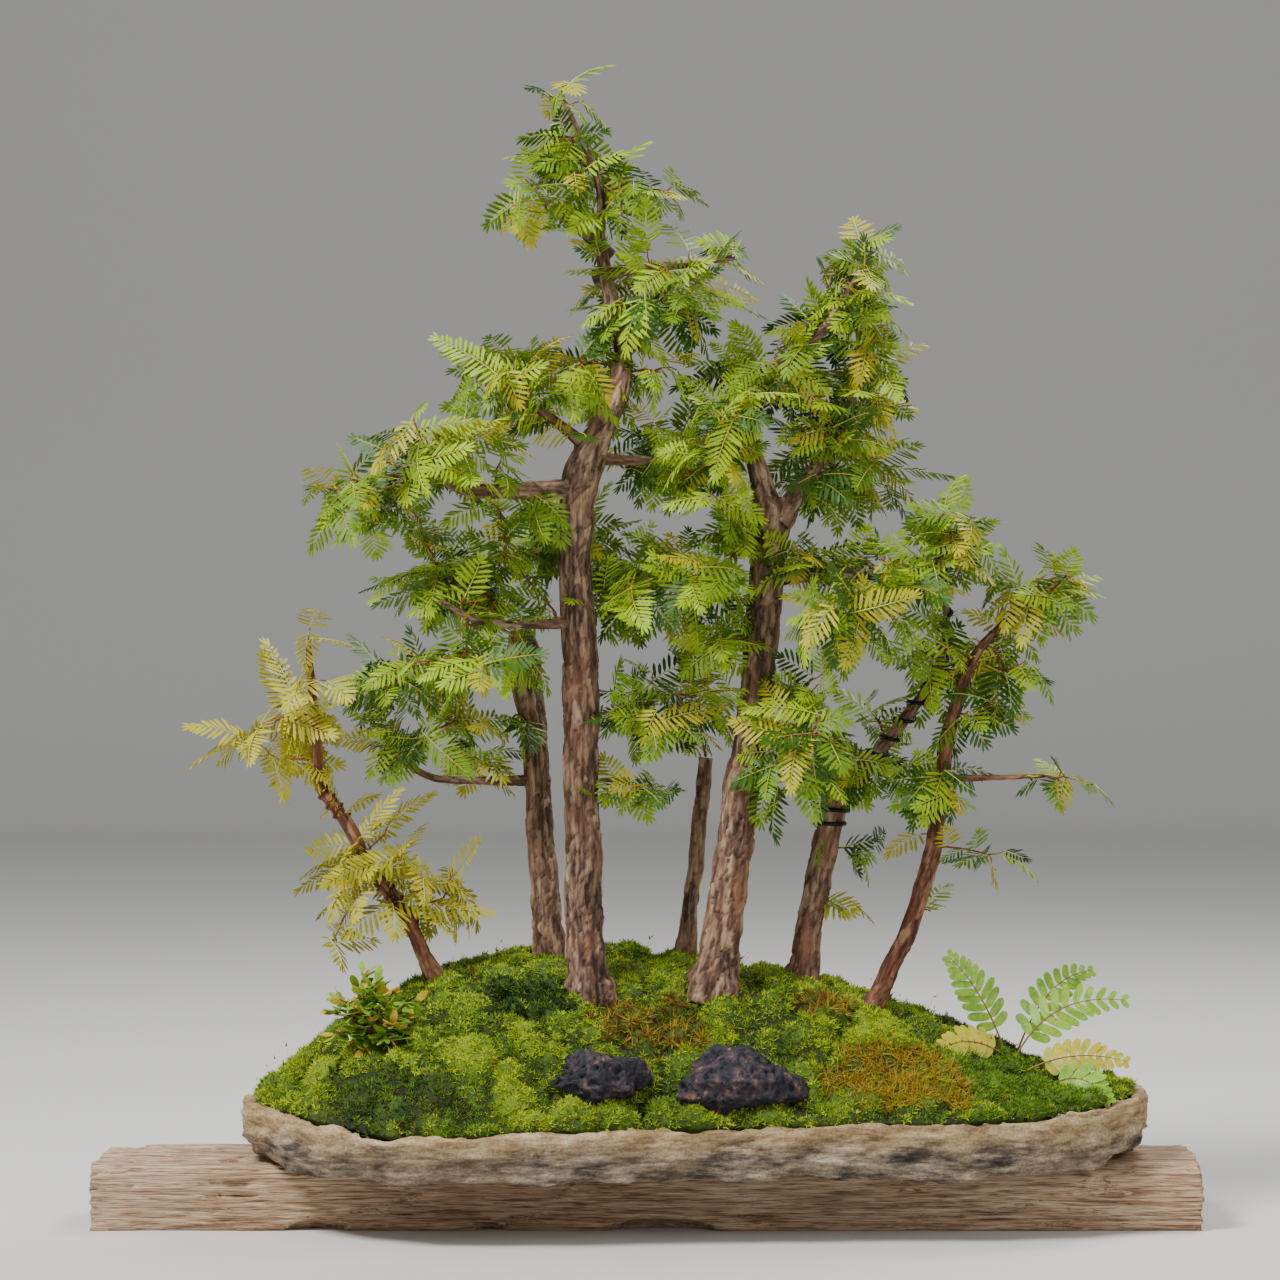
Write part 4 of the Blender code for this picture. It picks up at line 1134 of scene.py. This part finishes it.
def make_moss():
    """The mound's cushions, then shoots of each kind of moss over them, and red stalks of spore cases."""
    mesh = displaced("moss_mound", 2.6, moss_rise)
    spread = [(v.co.x / MM, v.co.y / MM) for v in mesh.vertices]
    # Felt tone: the patch's lushness, plus the cushion height as painted shade in the creases and painted
    # light on the tops
    amounts = [LUSHNESS[patch_kind(x, y)] * 0.35 + 0.03 * cushion(x, y) + 0.1 for x, y in spread]
    layer = mesh.attributes.new("lush", "FLOAT", "POINT")
    layer.data.foreach_set("value", np.array(amounts, dtype=np.float32))
    top = piece("moss_cushions", mesh, moss_finish(), ("moss_mound",), smooth=True).data
    spots, stalks = moss_spots(mesh)
    for k, (kind, (colour, leaves, length, width, lean)) in enumerate(MOSS_KINDS.items()):
        finish = plain_finish("moss_" + kind, colour, 0.7, 0.3)
        shapes = shape_collection("shoot_" + kind, [tuft(leaves, length, width, lean, 5 + k)])
        shoots = scatter("moss_" + kind, shapes, spots[kind], finish, (0.8, 1.2), 5)
        piece("moss_" + kind, shoots, finish)
        drop_collection(shapes)
    red = plain_finish("spore_stalk_red", "9a3a20", 0.5)
    case = leaflet(UP * 11, unit(UP + (0.5, 0, 0)), 3, 1.2)
    stalk = shape_collection("stalk", [[leaflet(np.zeros(3), UP, 13, 0.5), case]])
    piece("spore_stalks", scatter("spore_stalks", stalk, stalks, red), red)
    drop_collection(stalk)
    return BVHTree.FromPolygons([v.co[:] for v in top.vertices], [f.vertices[:] for f in top.polygons])


def ground_at(tree, x, y):
    """Height of the moss under a place, in millimetres."""
    hit = tree.ray_cast(Vector((x * MM, y * MM, 1.0)), Vector((0, 0, -1)))[0]
    return hit.z / MM if hit else 80.0


def blade(outline, along, across, out, thick):
    """A thin closed leaf from an outline of (length, width) halves, each place lifted by its own fold; the
    outlines given here are flat.
    """
    upper = [along * l + across * w + out * (thick / 2 + fold) for l, w, fold in outline]
    lower = [p - out * thick for p in upper]
    count = len(outline)
    faces = []
    for i in range(1, count - 1):
        faces += [(0, i, i + 1), (count, count + i + 1, count + i)]
    for i in range(count):
        j = (i + 1) % count
        faces += [(i, count + i, count + j), (i, count + j, j)]
    return np.array(upper + lower), faces


def leaf_outline(length, width, steps=4, blunt=2.0):
    """Places round a leaf, from its foot along one side to its tip and back."""
    shares = (1 - np.cos(np.linspace(0, math.pi, steps + 2)[1:-1])) / 2
    side = [(length * t, width / 2 * math.sqrt(1 - abs(2 * t - 1) ** blunt), 0.0) for t in shares]
    back = [(l, -w, 0.0) for l, w, _ in reversed(side)]
    return [(0, 0, 0.0)] + back[::-1] + [(length, 0, 0.0)] + side[::-1]


def frond(foot, arch, tip, half_width, seed):
    """A fern frond: an arching rib with leaflets side by side, widest near its foot, as (leaflets, rib)."""
    chance = np.random.default_rng(seed)
    foot, arch, tip = (np.array(p, dtype=float) for p in (foot, arch, tip))
    t = np.linspace(0, 1, 26)[:, None]
    line = foot * (1 - t) ** 2 + arch * 2 * t * (1 - t) + tip * t**2
    along, _, _ = frames(line)
    leaves = []
    for k in range(LEAFLETS):
        share = 0.24 + 0.74 * k / (LEAFLETS - 1)
        i = share * 25
        place = np.array([np.interp(i, np.arange(26), line[:, n]) for n in range(3)])
        ahead = along[int(i)]
        out = UP * 0.55 + np.array((0.0, -0.85, 0.0))
        out = unit(out - ahead * out.dot(ahead))
        grown = (share - 0.2) / 0.8
        reach = half_width * (0.55 + 0.6 * math.sin(math.pi * min(1, grown) ** 0.7)) * (1 - 0.35 * grown)
        for side in (-1, 1):
            lean = math.radians(68 - 26 * grown + chance.uniform(-5, 5))
            sideways = np.cross(out, ahead) * side
            way = unit(ahead * math.cos(lean) + sideways * math.sin(lean) - out * chance.uniform(0.0, 0.25))
            across = unit(np.cross(out, way))
            shape = leaf_outline(reach, 6.4 * (1 - 0.42 * grown), 7, 3.2)
            places, faces = blade(shape, way, across, np.cross(way, across), 0.3)
            leaves.append((((place + places) * MM), faces))
    rib = tube(line, np.linspace(0.75, 0.3, 26), 5)
    return leaves, [(rib[0] * MM, rib[1])]


def make_ferns(ground):
    """Six fronds in three places, each with its rib and leaflets."""
    finishes = {
        "leaflets": mottled_finish("fern_leaf", ((0.35, "6fa51c"), (0.6, "9cc42c")), 7, 0.45, 0.15),
        "yellow": mottled_finish("fern_leaf_yellowing", ((0.35, "a3ad1e"), (0.6, "d2bc2c")), 7, 0.45, 0.15),
    }
    brown = plain_finish("fern_rib_brown", "8a6a2c", 0.5)
    for number, (node, fronds) in enumerate(FRONDS.items()):
        leaves, ribs = {}, []
        for k, (foot, arch, tip, half, kind) in enumerate(fronds):
            z = ground_at(ground, *foot) - 3
            blades, rib = frond((*foot, z), arch, tip, half, 40 + 7 * number + k)
            leaves.setdefault(kind, []).extend(blades)
            ribs += rib
        for kind, blades in leaves.items():
            name = f"{node}_{kind}"
            piece(name, mesh_from(name, blades), finishes[kind], (node,))
        piece(node + "_ribs", mesh_from(node, ribs), brown, (node,), smooth=True)


def make_shrub(ground):
    """A low shrub of small glossy oval leaves, some with yellow and orange tips."""
    low, high = (np.array(c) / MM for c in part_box("shrub"))
    middle, half = (low + high) / 2, (high - low) / 2
    foot = np.array((middle[0], middle[1], ground_at(ground, middle[0], middle[1]) - 3))
    stems, leaves = [], {"green": [], "tip": []}
    for _ in range(30):
        way = unit(rng.normal(size=3) * (1, 1, 0.8) + UP * 0.30)
        end = middle + way * half * rng.uniform(0.6, 0.98)
        t = np.linspace(0, 1, 9)[:, None]
        bend = (foot + end) / 2 + UP * 12
        line = foot * (1 - t) ** 2 + bend * 2 * t * (1 - t) + end * t**2
        places, faces = tube(line, np.linspace(1.0, 0.4, 9), 5)
        stems.append((places * MM, faces))
        for n in range(13):
            share = 0.25 + 0.75 * n / 12
            place = np.array([np.interp(share * 8, np.arange(9), line[:, c]) for c in range(3)])
            ahead = unit(line[-1] - line[-3])
            out = unit(rng.normal(size=3) * (1, 1, 0.4))
            way_leaf = unit(out * 0.9 + ahead * 0.5 + UP * 0.15)
            above = unit(UP + rng.normal(0, 0.4, 3))
            across = unit(np.cross(above, way_leaf))
            size = rng.uniform(8.5, 13)
            shape, faces = blade(leaf_outline(size, size * 0.46, 4, 1.7), way_leaf, across,
                                 np.cross(way_leaf, across), 0.35)
            kind = "tip" if rng.random() < 0.28 * share + 0.05 else "green"
            leaves[kind].append(((place + shape) * MM, faces))
    finishes = {
        "green": mottled_finish("shrub_leaf_glossy", ((0.35, "5a8a22"), (0.6, "9cc23a")), 9, 0.3, 0.1),
        "tip": mottled_finish("shrub_leaf_tinted", ((0.35, "b8862a"), (0.6, "d6b93c")), 9, 0.32, 0.1),
    }
    for kind, finish in finishes.items():
        piece("shrub_leaves_" + kind, mesh_from("shrub", leaves[kind]), finish, ("shrub",))
    wood = mottled_finish("shrub_stem_wood", ((0.3, "4a3022"), (0.6, "7a5238")), 4, 0.7, 0.2)
    piece("shrub_stems", mesh_from("shrub_stems", stems), wood, ("shrub",), smooth=True)


def coil(limb, start, end, pitch, thick):
    """A wire wound round a limb between two shares of its length."""
    points, radii, reach = smooth_line(LIMBS[limb], 0.8)
    points = wandering(limb, points, radii, reach)
    _, u, v = frames(points)
    inside = (reach > start * reach[-1]) & (reach < end * reach[-1])
    turn = reach * math.tau / pitch
    out = np.cos(turn)[:, None] * u + np.sin(turn)[:, None] * v
    line = points + out * (radii * 1.06 + thick)[:, None]
    places, faces = tube(line[inside], np.full(int(inside.sum()), thick), 7)
    return places * MM, faces


def make_wires():
    """Training wire: copper on the far left tree, anodised aluminium on the bough of the cut trunk."""
    for name, (dull, bright, metal, runs) in WIRES.items():
        material, tree, shader = new_finish(name)
        tarnish = grain(tree, add(tree, PLACE, out="Object"), 4, detail=4)
        colour = add(tree, RAMP, {"stops": ((0.3, dull), (0.7, bright))}, Fac=tarnish)
        wire(tree, shader, Base__Color=colour, Metallic=metal, Roughness=0.38)
        piece(name, mesh_from(name, [coil(*run) for run in runs]), material, smooth=True)


def make_ground_pieces():
    """Plank, tray and lava stones, each with the relief of its own stuff."""
    plank = displaced("board", 2.0, plank_relief, 1)
    piece("plank", plank, plank_finish(), ("board",), True)
    piece("rock_tray", displaced("tray", 2.9, rock_relief, 2), rock_finish(), ("tray",), True)
    blacks = ((0.36, "0e0e15"), (0.49, "2b2833"), (0.61, "4f3c42"), (0.76, "a27c54"))
    lava = mottled_finish("porous_lava", blacks, 8, 0.7, 1.2, 1.6)
    for node in ("lava_stone_small", "lava_stone_large"):
        piece("porous_" + node, displaced(node, 1.1, lava_relief, 2), lava, (node,), True)


def make_studio():
    """Pale floor that curves up far behind, soft lights and the picture's camera, in metres."""
    profile = [(-6.0, 0.0), (5.0, 0.0)]
    profile += [(5.0 + math.sin(a), 1.0 - math.cos(a)) for a in np.linspace(0.1, math.pi / 2, 14)]
    profile.append((6.0, 5.0))
    places = [(x, y, z) for y, z in profile for x in (-7.0, 7.0)]
    mesh = bpy.data.meshes.new("floor")
    rows = range(0, 2 * len(profile) - 2, 2)
    mesh.from_pydata(places, [], [(i, i + 1, i + 3, i + 2) for i in rows])
    floor = bpy.data.objects.new("floor", mesh)
    bpy.context.scene.collection.objects.link(floor)
    mesh.materials.append(plain_finish("pale_floor", "d8d6d2", 0.9, 0.2))
    mesh.polygons.foreach_set("use_smooth", np.full(len(mesh.polygons), True))
    for name, place, size, power in LAMPS:
        lamp = bpy.data.lights.new(name, "AREA")
        lamp.size = size
        lamp.energy = power
        light = bpy.data.objects.new(name, lamp)
        light.location = place
        light.rotation_euler = (Vector((0, 0, 0.35)) - Vector(place)).to_track_quat("-Z", "Y").to_euler()
        bpy.context.scene.collection.objects.link(light)
    world = bpy.data.worlds.new("studio")
    bpy.context.scene.world = world
    world.use_nodes = True
    wire(world.node_tree, world.node_tree.nodes["Background"], Color="eceff2", Strength=0.42)
    camera = bpy.data.cameras.new("camera")
    camera.lens = CAMERA_LENS
    camera.sensor_width = 36
    viewer = bpy.data.objects.new("camera", camera)
    viewer.location = CAMERA_PLACE
    viewer.rotation_euler = (math.pi / 2, 0, 0)
    bpy.context.scene.collection.objects.link(viewer)
    bpy.context.scene.camera = viewer


make_studio()
make_limbs()
make_foliage()
ground = make_moss()
make_ferns(ground)
make_shrub(ground)
make_wires()
make_ground_pieces()
